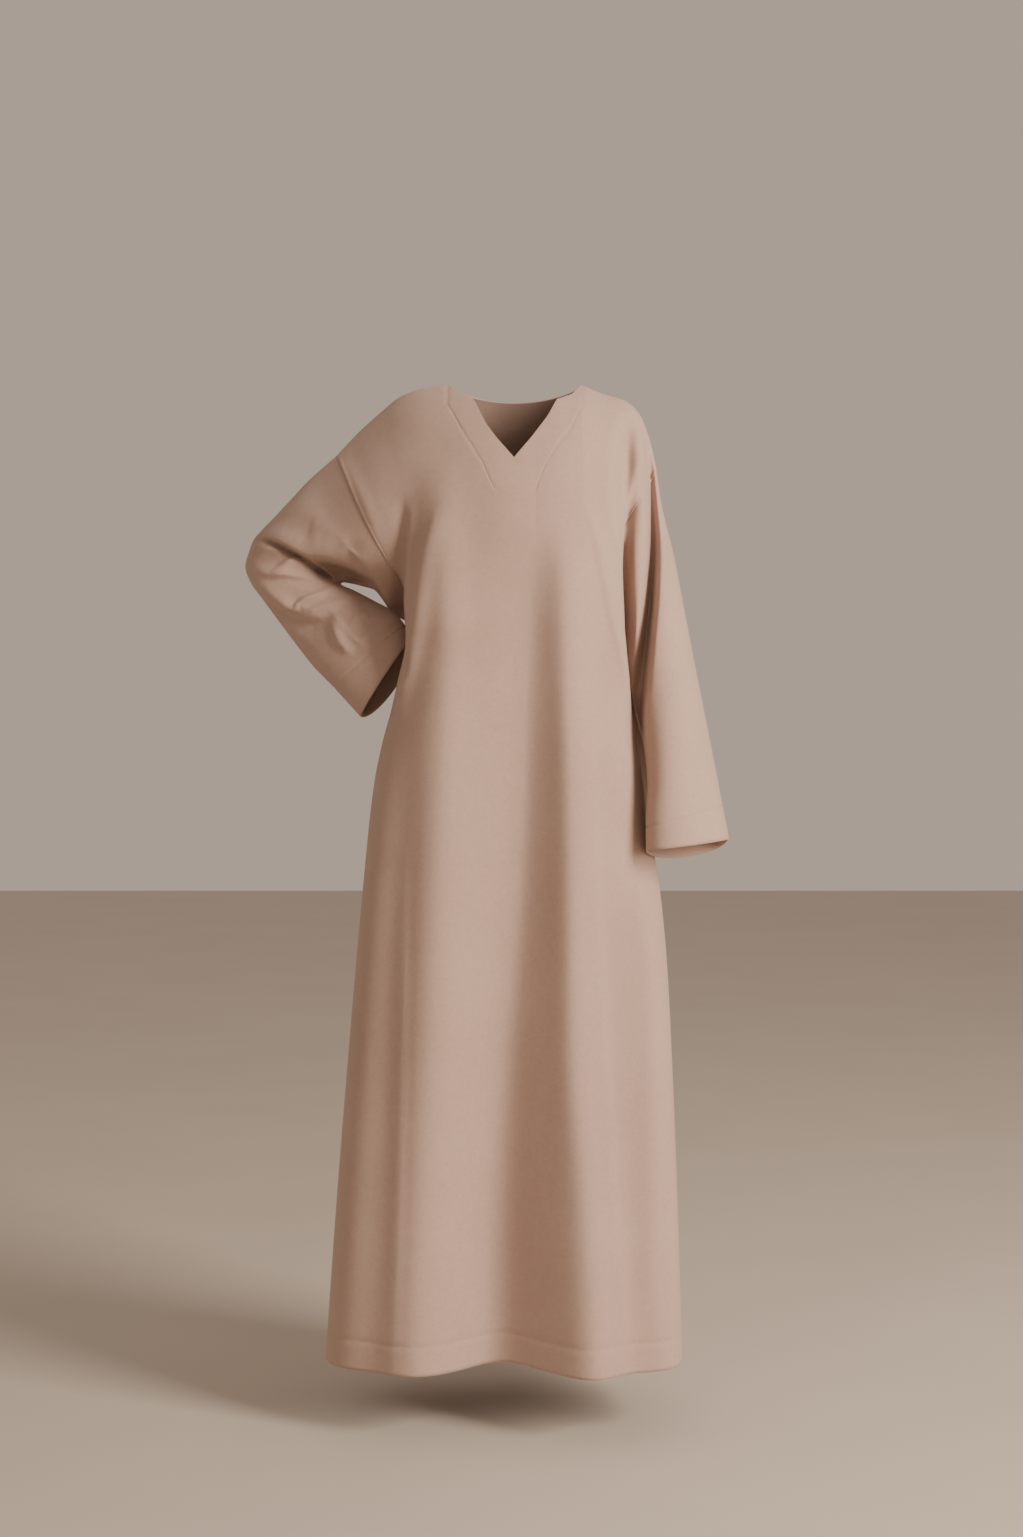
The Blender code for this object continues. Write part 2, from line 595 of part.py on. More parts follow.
for name, at in (("sleeve_right", 0), ("sleeve_left", -1)):
    rings = sleeves[name]
    sleeve_normals = tube_normals(rings)
    # At the armhole the body and the sleeve share a mitre, and stand a seam's gap apart.
    body = armhole(front_in, back_in, at)
    mitre = unit(body + sleeve_normals[0])
    open_by = np.clip((mitre * body).sum(axis=-1), 0.6, 1)
    half = YOKE_ROWS
    front_in[-half - 1 :, at] = mitre[: half + 1]
    front_thick[-half - 1 :, at] = CLOTH / open_by[: half + 1]
    back_in[-half - 1 :, at] = np.concatenate([mitre[:1], mitre[half:][::-1][:-1], mitre[half : half + 1]])
    back_open = np.concatenate([open_by[:1], open_by[half:][::-1][:-1], open_by[half : half + 1]])
    back_thick[-half - 1 :, at] = CLOTH / back_open
    along = np.roll(rings[0], -1, axis=0) - np.roll(rings[0], 1, axis=0)
    away = unit(np.cross(along, mitre))
    away = away * np.sign((away * (rings[2] - rings[0])).sum())
    rings[0] += away * SEAM_GAP
    sleeve_normals[0] = mitre
    thick = np.full(rings.shape[:2], CLOTH)
    thick[0] = CLOTH / open_by
    thick[-2:] = TURNED_CLOTH
    sleeves[name] = (rings, rings - sleeve_normals * thick[..., None])

for name, grid, inward, thick, side in (
    ("front", front, front_in, front_thick, -1),
    ("back", back, back_in, back_thick, 1),
):
    cloth(wall(name, grid, grid - inward * thick[..., None], flip=side > 0))

for name, (outer, inner) in sleeves.items():
    cloth(wall(name, outer, inner, flip=name == "sleeve_left", closed=True))

inside_neck = np.abs(columns_across(-1)) <= NECK_ACROSS + 1e-9
block = (slice(-YOKE_ROWS - 1 + FACING_ROW, None), inside_neck)
facing_outer = front[block] - front_in[block] * (front_thick[block] + SEAM_GAP)[..., None]
facing_inner = facing_outer - front_in[block] * FACING_CLOTH
cloth(wall("neck_facing", facing_outer, facing_inner, flip=False))
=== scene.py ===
"""A long closed abaya in heavy dusty-mauve crepe, with a slit V neck, dropped shoulders and wide sleeves.

Metres, +Z up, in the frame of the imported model. The wearer faces -Y, so the wearer's right side is at -X.
"""

import math

import bpy
import numpy as np
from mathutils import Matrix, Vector


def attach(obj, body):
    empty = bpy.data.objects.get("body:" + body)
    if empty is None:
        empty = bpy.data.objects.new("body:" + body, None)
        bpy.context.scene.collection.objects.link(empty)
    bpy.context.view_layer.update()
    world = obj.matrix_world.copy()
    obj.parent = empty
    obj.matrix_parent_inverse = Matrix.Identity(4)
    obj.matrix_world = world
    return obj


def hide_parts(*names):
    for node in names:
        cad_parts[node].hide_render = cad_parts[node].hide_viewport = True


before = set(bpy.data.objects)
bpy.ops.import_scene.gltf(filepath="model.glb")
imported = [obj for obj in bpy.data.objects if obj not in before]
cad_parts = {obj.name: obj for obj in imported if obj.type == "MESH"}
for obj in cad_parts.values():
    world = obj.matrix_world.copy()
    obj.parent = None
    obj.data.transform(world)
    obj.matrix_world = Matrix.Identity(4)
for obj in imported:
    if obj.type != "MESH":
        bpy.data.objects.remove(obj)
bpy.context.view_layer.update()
scene = bpy.context.scene

# ---------------------------------------------------------------- camera, floor and light
# The camera looks level at the hips from 3.6 m. One large soft light stands in front, towards +X, and the
# room gives a weak warm fill. The floor lies where the stand under the garment would stand.
CAMERA_DISTANCE = 3.6
CAMERA_HEIGHT = -0.43065
FRAME_HEIGHT = 1537  # in pixels, as are the focal length and the shift
FOCAL_LENGTH = 2483
CAMERA_SHIFT = (-3.5, -88.5)
FLOOR_Z = -1.50
FLOOR_REACH = 9.0
FLOOR_COLOURS = ((0.53, 0.47, 0.41, 1.0), (0.59, 0.53, 0.46, 1.0))
LAMP_COLOUR = (1.0, 0.87, 0.74)
ROOM_COLOUR = (0.80, 0.65, 0.53, 1.0)
ROOM_LIGHT = 0.60

camera = bpy.data.objects.new("camera", bpy.data.cameras.new("camera"))
camera.data.sensor_fit = "VERTICAL"
camera.data.sensor_height = 36.0
camera.data.lens = FOCAL_LENGTH / FRAME_HEIGHT * camera.data.sensor_height
camera.data.shift_x, camera.data.shift_y = (shift / FRAME_HEIGHT for shift in CAMERA_SHIFT)
camera.location = (0.0, -CAMERA_DISTANCE, CAMERA_HEIGHT)
camera.rotation_euler = (math.pi / 2, 0.0, 0.0)
scene.collection.objects.link(camera)
scene.camera = camera


def area_light(name, place, aim, size, power, colour):
    light = bpy.data.lights.new(name, "AREA")
    light.shape = "RECTANGLE"
    light.size, light.size_y = size
    light.energy = power
    light.color = colour
    obj = bpy.data.objects.new(name, light)
    obj.location = place
    obj.rotation_euler = (Vector(aim) - Vector(place)).to_track_quat("-Z", "Y").to_euler()
    scene.collection.objects.link(obj)


area_light("key", (3.1, -2.5, 0.9), (0.0, 0.0, -0.6), (1.5, 2.2), 290.0, LAMP_COLOUR)
area_light("fill", (-0.5, -4.4, 1.0), (0.0, 0.0, -0.6), (3.0, 3.0), 8.0, LAMP_COLOUR)

world = bpy.data.worlds.new("studio")
world.use_nodes = True
background = world.node_tree.nodes["Background"]
background.inputs["Color"].default_value = ROOM_COLOUR
background.inputs["Strength"].default_value = ROOM_LIGHT
scene.world = world


class Socket:
    """An output of a node, with the arithmetic of Math nodes."""

    def __init__(self, tree, output):
        self.tree, self.output = tree, output

    def maths(self, operation, other):
        return self.tree.node("ShaderNodeMath", self, other, operation=operation)

    def __add__(self, other):
        return self.maths("ADD", other)

    def __mul__(self, other):
        return self.maths("MULTIPLY", other)


class Shader:
    """The node tree of one new material, built by naming each node with its inputs."""

    def __init__(self, name):
        self.material = bpy.data.materials.new(name)
        self.material.use_nodes = True
        self.nodes, self.links = self.material.node_tree.nodes, self.material.node_tree.links
        self.surface = self.nodes["Principled BSDF"]

    def node(self, kind, *values, output=0, named=(), **settings):
        """A node with its settings, its first inputs, and inputs given by name. It returns one output."""
        made = self.nodes.new(kind)
        for key, value in settings.items():
            setattr(made, key, value)
        for place, value in list(enumerate(values)) + list(dict(named).items()):
            self.put(made.inputs[place], value)
        return Socket(self, made.outputs[output])

    def noise(self, where, scale, detail, roughness=0.5):
        named = {"Scale": scale, "Detail": detail, "Roughness": roughness}
        return self.node("ShaderNodeTexNoise", where, named=named)

    def put(self, socket, value):
        if isinstance(value, Socket):
            self.links.new(value.output, socket)
        else:
            socket.default_value = value

    def set(self, **inputs):
        for name, value in inputs.items():
            self.put(self.surface.inputs[name.replace("_", " ")], value)

    def mix(self, factor, first, second):
        made = self.node("ShaderNodeMix", factor, data_type="RGBA", output=2)
        self.put(made.output.node.inputs[6], first)
        self.put(made.output.node.inputs[7], second)
        return made


def painted(name, low, high, scale, roughness):
    """A plain matt surface that varies a little between two colours."""
    shader = Shader(name)
    where = shader.node("ShaderNodeTexCoord", output="Object")
    cloud = shader.noise(where, scale, 4.0)
    shader.set(Base_Color=shader.mix(cloud, low, high), Roughness=roughness)
    return shader.material


floor_mesh = bpy.data.meshes.new("floor")
corners = [(x * FLOOR_REACH, y * FLOOR_REACH, FLOOR_Z) for x, y in ((-1, -1), (1, -1), (1, 1), (-1, 1))]
floor_mesh.from_pydata(corners, [], [(0, 1, 2, 3)])
floor = bpy.data.objects.new("floor", floor_mesh)
floor_mesh.materials.append(painted("floor_paint", *FLOOR_COLOURS, 3.0, 0.8))
scene.collection.objects.link(floor)

# ---------------------------------------------------------------- the front
# One panel of heavy crepe from the shoulder seams to the floor-length hem, with a slit V cut into its neck.
# It falls from the bust in soft vertical folds, and its hem is turned up 41 mm and stitched. The section
# makes its points. Its wall is made after the sleeves, because the armhole seams are mitred with them.
CLOTH = 0.0018
TURNED_CLOTH = 0.0028  # where a hem is turned up
SEAM_GAP = 0.0003
HEM_TURN = 0.041
UNDERARM_Z = -0.350
HEM_Z = -1.405
HEM_LIFT = 0.007  # how much higher the hem hangs at centre front
HEM_LIFT_WIDTH = 0.060
SIDE_SEAM_Y = 0.012
BACK_NECK_DROP = 0.022
FINER = 6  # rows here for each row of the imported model's yoke
YOKE_ROWS = 14 * FINER
FACING_ROW = 10 * FINER
STITCH_DIP = 0.0009  # how deep a stitched line pulls the cloth in
SEAM_DIP = 0.0003
FACING_DIP = 0.0005
SEAM_RIDGE = 0.0011  # the welt of the armhole seam
DRAWN_IN = 0.42  # the share of its distance at which a row beside a stitched line stays
TURN_ROWS = 8
SKIRT_ROWS = 190
PANEL_COLUMNS = {-1: 146, 1: 112}

SECTION_COLUMNS = (
    *("z", "right_side", "left_side", "right_lip", "left_lip", "left_back_lip"),
    *("front", "back", "round"),
)
BODY_SECTIONS = (
    (-0.290, -0.156, 0.160, 0.004, 0.004, 0.000, 0.148, 0.104, 0.42),
    (-0.350, -0.146, 0.148, 0.012, 0.014, 0.000, 0.148, 0.104, 0.38),
    (-0.390, -0.139, 0.144, 0.020, 0.020, 0.012, 0.147, 0.105, 0.38),
    (-0.430, -0.157, 0.150, 0.013, 0.018, 0.038, 0.147, 0.108, 0.42),
    (-0.480, -0.178, 0.165, 0.004, 0.008, 0.038, 0.147, 0.114, 0.48),
    (-0.550, -0.195, 0.181, 0.000, 0.002, 0.027, 0.147, 0.122, 0.55),
    (-0.650, -0.207, 0.194, 0.000, 0.000, 0.010, 0.147, 0.134, 0.65),
    (-0.700, -0.212, 0.205, 0.000, 0.000, 0.002, 0.147, 0.139, 0.70),
    (-0.750, -0.217, 0.211, 0.000, 0.000, 0.000, 0.148, 0.144, 0.70),
    (-0.980, -0.238, 0.221, 0.000, 0.000, 0.000, 0.150, 0.160, 0.75),
    (-1.200, -0.256, 0.228, 0.000, 0.000, 0.000, 0.152, 0.174, 0.75),
    (-1.405, -0.270, 0.234, 0.000, 0.000, 0.000, 0.155, 0.186, 0.82),
)
YOKE_ROUND = 0.62
LIP_ACROSS = 0.78

NECK_ACROSS = 0.45
RIDGE_COLUMNS = ("across", "x", "y", "z")
SHOULDER_RIDGE = (
    (-1.00, -0.261, 0.024, -0.104),
    (-0.88, -0.226, 0.019, -0.068),
    (-0.78, -0.194, 0.014, -0.040),
    (-0.69, -0.170, 0.011, -0.021),
    (-0.58, -0.140, 0.006, -0.009),
    (-0.45, -0.097, 0.000, -0.002),
    (0.00, -0.002, -0.004, 0.004),
    (0.45, 0.095, 0.000, -0.003),
    (0.58, 0.130, 0.006, -0.016),
    (0.69, 0.163, 0.011, -0.026),
    (0.78, 0.182, 0.014, -0.045),
    (0.88, 0.196, 0.017, -0.080),
    (1.00, 0.206, 0.020, -0.122),
)
CHEST_FALL = (3.0, 1.4)
ARMHOLE_BULGE = 0.066
ARMHOLE_SPREAD = 0.30
ARMHOLE_TILT = 0.20
FRONT_CUT_RIGHT = -0.010
FRONT_CUT_LEFT = 0.027

EDGE_COLUMNS = ("x", "z")
FRONT_NECKLINE = (
    (-0.0975, -0.0020),
    (-0.0800, -0.0160),
    (-0.0621, -0.0257),
    (-0.0573, -0.0325),
    (-0.0412, -0.0667),
    (-0.0262, -0.0880),
    (-0.0014, -0.1171),
    (0.0241, -0.0860),
    (0.0464, -0.0548),
    (0.0598, -0.0287),
    (0.0822, -0.0195),
    (0.0955, -0.0030),
)
NOTCHES = (-0.0621, 0.0598)
SLIT_FOOT = -0.0014
FACING_EDGE = (
    (-0.100, -0.034),
    (-0.0926, -0.040),
    (-0.0771, -0.0722),
    (-0.0587, -0.1031),
    (-0.0438, -0.1285),
    (-0.0367, -0.1472),
    (-0.0290, -0.1635),
    (0.0290, -0.1635),
    (0.0424, -0.1275),
    (0.0567, -0.1031),
    (0.0789, -0.0726),
    (0.0948, -0.0388),
    (0.100, -0.034),
)
FACING_CORNERS = (-0.0290, 0.0290)

FOLD_COLUMNS = ("x", "z", "height", "left", "right")
FOLD_STEP = 0.012  # the pitch at which a fold's path is followed
FOLD_REACH = 2.6  # how many of its widths away a fold still counts
SIDE_FADE = 0.12  # the share of a panel's half width over which folds fade at its sides
SHOULDER_FADE = 0.15  # the same below its shoulder seams
FRONT_FOLDS = (
    (
        (-0.108, -0.110, 0.000, 0.030, 0.030),
        (-0.106, -0.180, 0.008, 0.032, 0.030),
        (-0.102, -0.260, 0.012, 0.036, 0.030),
        (-0.100, -0.350, 0.012, 0.042, 0.030),
        (-0.104, -0.520, 0.013, 0.045, 0.034),
        (-0.110, -0.660, 0.015, 0.045, 0.038),
        (-0.118, -0.900, 0.018, 0.046, 0.045),
        (-0.138, -1.420, 0.018, 0.046, 0.055),
    ),
    (
        (0.012, -0.230, 0.000, 0.060, 0.036),
        (0.018, -0.350, -0.012, 0.065, 0.032),
        (0.015, -0.480, -0.020, 0.068, 0.034),
        (0.009, -0.680, -0.030, 0.072, 0.042),
        (-0.012, -0.980, -0.048, 0.076, 0.057),
        (-0.022, -1.160, -0.062, 0.082, 0.068),
        (-0.028, -1.420, -0.074, 0.086, 0.078),
    ),
    (
        (0.064, -0.200, 0.000, 0.022, 0.036),
        (0.068, -0.270, 0.008, 0.022, 0.036),
        (0.069, -0.350, 0.010, 0.022, 0.036),
        (0.072, -0.480, 0.012, 0.020, 0.034),
        (0.076, -0.660, 0.014, 0.022, 0.034),
        (0.080, -0.980, 0.016, 0.026, 0.038),
        (0.094, -1.160, 0.021, 0.034, 0.040),
        (0.104, -1.420, 0.027, 0.038, 0.042),
    ),
    (
        (0.184, -0.700, 0.000, 0.030, 0.020),
        (0.189, -0.820, 0.013, 0.034, 0.024),
        (0.194, -0.980, 0.021, 0.036, 0.025),
        (0.207, -1.420, 0.024, 0.038, 0.027),
    ),
    (
        (-0.178, -0.480, 0.000, 0.020, 0.026),
        (-0.190, -0.660, 0.012, 0.020, 0.028),
        (-0.213, -0.980, 0.014, 0.024, 0.030),
        (-0.246, -1.420, 0.013, 0.026, 0.032),
    ),
)
FRONT_CREASES = (
    (
        (-0.144, -0.180, 0.000, 0.003, 0.007),
        (-0.148, -0.232, 0.003, 0.003, 0.007),
        (-0.151, -0.269, 0.004, 0.003, 0.008),
        (-0.153, -0.311, 0.004, 0.003, 0.008),
        (-0.154, -0.382, 0.000, 0.004, 0.008),
    ),
    (
        (-0.106, -0.190, 0.000, 0.006, 0.014),
        (-0.111, -0.215, 0.003, 0.007, 0.014),
        (-0.119, -0.245, 0.006, 0.008, 0.015),
        (-0.127, -0.290, 0.008, 0.008, 0.015),
        (-0.132, -0.335, 0.009, 0.008, 0.014),
        (-0.142, -0.385, 0.008, 0.008, 0.014),
        (-0.155, -0.440, 0.006, 0.008, 0.013),
        (-0.168, -0.500, 0.000, 0.008, 0.012),
    ),
    (
        (0.100, -0.185, 0.000, 0.006, 0.012),
        (0.108, -0.215, 0.0025, 0.006, 0.012),
        (0.116, -0.243, 0.0035, 0.006, 0.012),
        (0.126, -0.293, 0.0035, 0.006, 0.012),
        (0.137, -0.347, 0.003, 0.006, 0.011),
        (0.151, -0.400, 0.003, 0.005, 0.010),
        (0.161, -0.459, 0.002, 0.005, 0.009),
        (0.170, -0.515, 0.000, 0.005, 0.008),
    ),
    (
        (-0.146, -0.640, 0.000, 0.012, 0.006),
        (-0.150, -0.723, 0.0012, 0.012, 0.006),
        (-0.153, -0.921, 0.0020, 0.014, 0.006),
        (-0.158, -1.119, 0.0022, 0.014, 0.006),
        (-0.164, -1.270, 0.0020, 0.014, 0.007),
        (-0.170, -1.420, 0.0008, 0.014, 0.008),
    ),
    (
        (0.100, -0.500, 0.000, 0.014, 0.008),
        (0.106, -0.600, 0.0015, 0.014, 0.008),
        (0.121, -0.913, 0.0020, 0.014, 0.008),
        (0.140, -1.256, 0.0020, 0.014, 0.009),
        (0.148, -1.420, 0.0010, 0.014, 0.009),
    ),
    (
        (0.172, -0.700, 0.000, 0.010, 0.007),
        (0.177, -0.779, 0.0015, 0.010, 0.007),
        (0.181, -0.991, 0.0022, 0.010, 0.008),
        (0.184, -1.285, 0.0020, 0.011, 0.008),
        (0.197, -1.396, 0.0010, 0.010, 0.008),
    ),
)
ARMHOLE_FOLDS = (
    (
        (-0.158, -0.172, 0.000, 0.010, 0.004),
        (-0.157, -0.205, -0.006, 0.012, 0.004),
        (-0.157, -0.235, -0.010, 0.012, 0.004),
        (-0.158, -0.265, -0.016, 0.013, 0.004),
        (-0.160, -0.300, -0.028, 0.016, 0.004),
        (-0.160, -0.340, -0.032, 0.018, 0.004),
        (-0.158, -0.385, -0.018, 0.016, 0.004),
        (-0.156, -0.430, 0.000, 0.010, 0.004),
    ),
    (
        (0.164, -0.045, 0.000, 0.010, 0.012),
        (0.161, -0.085, -0.020, 0.012, 0.014),
        (0.160, -0.130, -0.036, 0.014, 0.015),
        (0.159, -0.165, -0.034, 0.014, 0.014),
        (0.159, -0.200, -0.024, 0.013, 0.012),
        (0.160, -0.250, -0.013, 0.010, 0.008),
        (0.162, -0.310, -0.011, 0.009, 0.005),
        (0.165, -0.360, -0.009, 0.009, 0.005),
        (0.167, -0.410, 0.000, 0.009, 0.005),
    ),
    (
        (0.190, -0.045, 0.000, 0.007, 0.005),
        (0.195, -0.105, -0.012, 0.007, 0.006),
        (0.197, -0.145, -0.021, 0.007, 0.006),
        (0.199, -0.188, -0.028, 0.008, 0.006),
        (0.200, -0.230, -0.035, 0.009, 0.006),
        (0.196, -0.302, -0.046, 0.010, 0.006),
        (0.190, -0.373, -0.052, 0.012, 0.005),
        (0.184, -0.431, -0.050, 0.014, 0.005),
        (0.180, -0.481, -0.040, 0.014, 0.004),
        (0.179, -0.560, -0.018, 0.012, 0.004),
        (0.178, -0.640, 0.000, 0.010, 0.004),
    ),
)
SEAM_FOLDS = (
    (
        (-0.262, -0.090, 0.000, 0.028, 0.012),
        (-0.248, -0.118, 0.004, 0.032, 0.014),
        (-0.236, -0.145, 0.006, 0.034, 0.015),
        (-0.224, -0.170, 0.007, 0.034, 0.015),
        (-0.213, -0.198, 0.007, 0.034, 0.015),
        (-0.203, -0.229, 0.009, 0.032, 0.015),
        (-0.190, -0.255, 0.010, 0.028, 0.014),
        (-0.177, -0.275, 0.006, 0.022, 0.012),
        (-0.165, -0.300, 0.000, 0.016, 0.008),
    ),
)
CROOK_FOLDS = (
    (
        (0.152, -0.210, 0.000, 0.012, 0.010),
        (0.153, -0.255, -0.018, 0.012, 0.010),
        (0.154, -0.300, -0.024, 0.012, 0.010),
        (0.156, -0.340, -0.018, 0.012, 0.010),
        (0.158, -0.400, 0.000, 0.012, 0.010),
    ),
)


def column(table, columns, name):
    return np.array([row[columns.index(name)] for row in table], float)


def smooth(xs, ys, at):
    """A smooth curve through the points (xs, ys), read at each of at: cubic, level where ys turns."""
    order = np.argsort(xs)
    xs, ys, at = np.asarray(xs, float)[order], np.asarray(ys, float)[order], np.asarray(at, float)
    steps = np.diff(ys) / np.diff(xs)
    slopes = np.concatenate([[steps[0]], (steps[:-1] + steps[1:]) / 2, [steps[-1]]])
    slopes[1:-1] = np.where(steps[:-1] * steps[1:] <= 0, 0, slopes[1:-1])
    i = np.clip(np.searchsorted(xs, at) - 1, 0, len(xs) - 2)
    h = xs[i + 1] - xs[i]
    t = (at - xs[i]) / h
    past = t - np.clip(t, 0, 1)
    t = np.clip(t, 0, 1)
    value = ys[i] * (1 + 2 * t) * (1 - t) ** 2 + ys[i + 1] * t**2 * (3 - 2 * t)
    value = value + slopes[i] * h * t * (1 - t) ** 2 - slopes[i + 1] * h * t**2 * (1 - t)
    return value + past * h * np.where(past < 0, slopes[i], slopes[i + 1])


def eased(t):
    t = np.clip(t, 0, 1)
    return t * t * (3 - 2 * t)


def unit(vectors):
    return vectors / np.maximum(np.linalg.norm(vectors, axis=-1, keepdims=True), 1e-12)


def traced(points):
    """A smooth line through a fold's points, with its height and its two widths on the way."""
    points = np.array(points, float)
    run = np.concatenate([[0], np.cumsum(np.hypot(*np.diff(points[:, :2], axis=0).T))])
    at = np.linspace(0, run[-1], max(4, int(run[-1] / FOLD_STEP)) + 1)
    return np.stack([smooth(run, points[:, i], at) for i in range(points.shape[1])], axis=1)


def fold_lift(folds, x, z):
    """How far the folds lift the cloth at each point (x, z), seen from the front."""
    flat = np.stack([x.ravel(), z.ravel()], axis=1)
    total = np.zeros(len(flat))
    for fold in folds:
        line = traced(fold)
        reach = FOLD_REACH * line[:, FOLD_COLUMNS.index("left") :].max()
        inside = (flat > line[:, :2].min(axis=0) - reach) & (flat < line[:, :2].max(axis=0) + reach)
        near = np.nonzero(inside.all(axis=1))[0]
        step = np.diff(line, axis=0)
        away = flat[near, None] - line[:-1, :2]
        share = np.clip((away * step[:, :2]).sum(axis=2) / (step[:, :2] ** 2).sum(axis=1), 0, 1)
        gap = np.linalg.norm(away - share[..., None] * step[:, :2], axis=2)
        best = gap.argmin(axis=1)
        each = np.arange(len(best))
        here = line[best] + share[each, best, None] * step[best]
        turn = step[best, 0] * away[each, best, 1] - step[best, 1] * away[each, best, 0]
        height, left, right = here[:, FOLD_COLUMNS.index("height") :].T
        width = np.where(turn > 0, right, left)
        total[near] += height * np.exp(-((gap[each, best] / width) ** 2))
    return total.reshape(x.shape)


def section(z, across, side, rounder=0.0):
    """A point of the body's section at height z. side is -1 for the front and 1 for the back."""
    heights = column(BODY_SECTIONS, SECTION_COLUMNS, "z")
    at = {}
    for name in SECTION_COLUMNS[1:]:
        at[name] = smooth(heights, column(BODY_SECTIONS, SECTION_COLUMNS, name), z)
    turn = across * math.pi / 2
    right, left = at["right_side"], at["left_side"]
    x = (left + right) / 2 + (left - right) / 2 * np.sin(turn)
    bell = np.exp(-(((np.abs(across) - LIP_ACROSS) / 0.16) ** 2)) * eased((1 - np.abs(across)) / 0.15)
    if side > 0:
        x = x + np.where(across < 0, 0, at["left_back_lip"]) * bell
        return x, SIDE_SEAM_Y + at["back"] * np.maximum(np.cos(turn), 0) ** 0.9
    x = x + np.where(across < 0, -at["right_lip"], at["left_lip"]) * bell
    power = at["round"] + (YOKE_ROUND - at["round"]) * rounder
    return x, SIDE_SEAM_Y - at["front"] * np.maximum(np.cos(turn), 0) ** power


def ridge(across):
    places = column(SHOULDER_RIDGE, RIDGE_COLUMNS, "across")
    return [smooth(places, column(SHOULDER_RIDGE, RIDGE_COLUMNS, name), across) for name in "xyz"]


def higher(first, second, blend):
    """The higher of two heights, rounded over where they cross."""
    return np.maximum(first, second) + np.maximum(blend - np.abs(first - second), 0) ** 2 / (4 * blend + 1e-9)


def yoke(across, rise, side):
    """A point of the sheet above the underarm. rise is 0 at the underarm and 1 on the shoulders' ridge."""
    x0, y0 = section(np.full_like(across, UNDERARM_Z), across, side, eased(rise / 0.5))
    x_below, _ = section(np.full_like(across, UNDERARM_Z - 0.01), across, side)
    x1, y1, z1 = ridge(across)
    tall = z1 - UNDERARM_Z
    leaving = (x0 - x_below) / 0.01 * tall * 0.5
    x = x0 * (1 + 2 * rise) * (1 - rise) ** 2 + x1 * rise**2 * (3 - 2 * rise)
    x = x + leaving * rise * (1 - rise) ** 2 - (x1 - x0) * rise**2 * (1 - rise)
    near = eased((np.abs(across) - 1 + ARMHOLE_SPREAD) / ARMHOLE_SPREAD)
    arch = np.sin(math.pi * np.clip(rise, 0, 1))
    if side < 0:
        x = x + np.where(across < 0, FRONT_CUT_RIGHT, -FRONT_CUT_LEFT) * near * arch**2
    square, flat = CHEST_FALL
    fall = np.clip(1 - np.clip(rise, 0, 1) ** square, 0, 1) ** (1 / flat)
    end_y = y1 if side > 0 else ridge(np.sign(across))[1]
    inward = 1 - np.abs(across)
    out = ARMHOLE_BULGE + ARMHOLE_TILT * inward * np.exp(-inward / 0.3)
    seam = end_y + (SIDE_SEAM_Y - end_y) * fall + side * out * arch**0.9
    y = side * higher(side * (y1 + (y0 - y1) * fall), side * seam, 0.03 * arch)
    return np.stack([x, y, UNDERARM_Z + tall * rise], axis=-1)


def neckline(x, side):
    xs, zs = column(FRONT_NECKLINE, EDGE_COLUMNS, "x"), column(FRONT_NECKLINE, EDGE_COLUMNS, "z")
    if side < 0:
        return np.interp(x, xs, zs)
    share = np.clip((x - xs[0]) / (xs[-1] - xs[0]), 0, 1)
    return np.interp(x, xs[[0, -1]], zs[[0, -1]]) - BACK_NECK_DROP * np.sin(math.pi * share) ** 0.6


def facing_edge(x, side):
    return np.interp(x, column(FACING_EDGE, EDGE_COLUMNS, "x"), column(FACING_EDGE, EDGE_COLUMNS, "z"))


def rise_to(edge, across, side):
    """How far up the yoke each column runs before it meets an edge given as a height at each x."""
    low, high = np.zeros_like(across), np.ones_like(across)
    for _ in range(40):
        rise = (low + high) / 2
        p = yoke(across, rise, side)
        above = p[..., 2] > edge(p[..., 0], side)
        high = np.where(above, rise, high)
        low = np.where(above, low, rise)
    return high


def across_at(x, z):
    """The column of the front that passes through (x, z)."""
    low, high = -1.0, 1.0
    for _ in range(50):
        across = np.array([(low + high) / 2])
        rise = np.clip((z - UNDERARM_Z) / (ridge(across)[2] - UNDERARM_Z), 0, 1)
        if yoke(across, rise, -1)[0, 0] < x:
            low = across[0]
        else:
            high = across[0]
    return (low + high) / 2


def draw_in(values, at):
    """Move the rows on both sides of row `at` closer to it, so that a stitched line there sinks sharply."""
    for beside in (at - 1, at + 1):
        values[beside] = values[at] + (values[beside] - values[at]) * DRAWN_IN


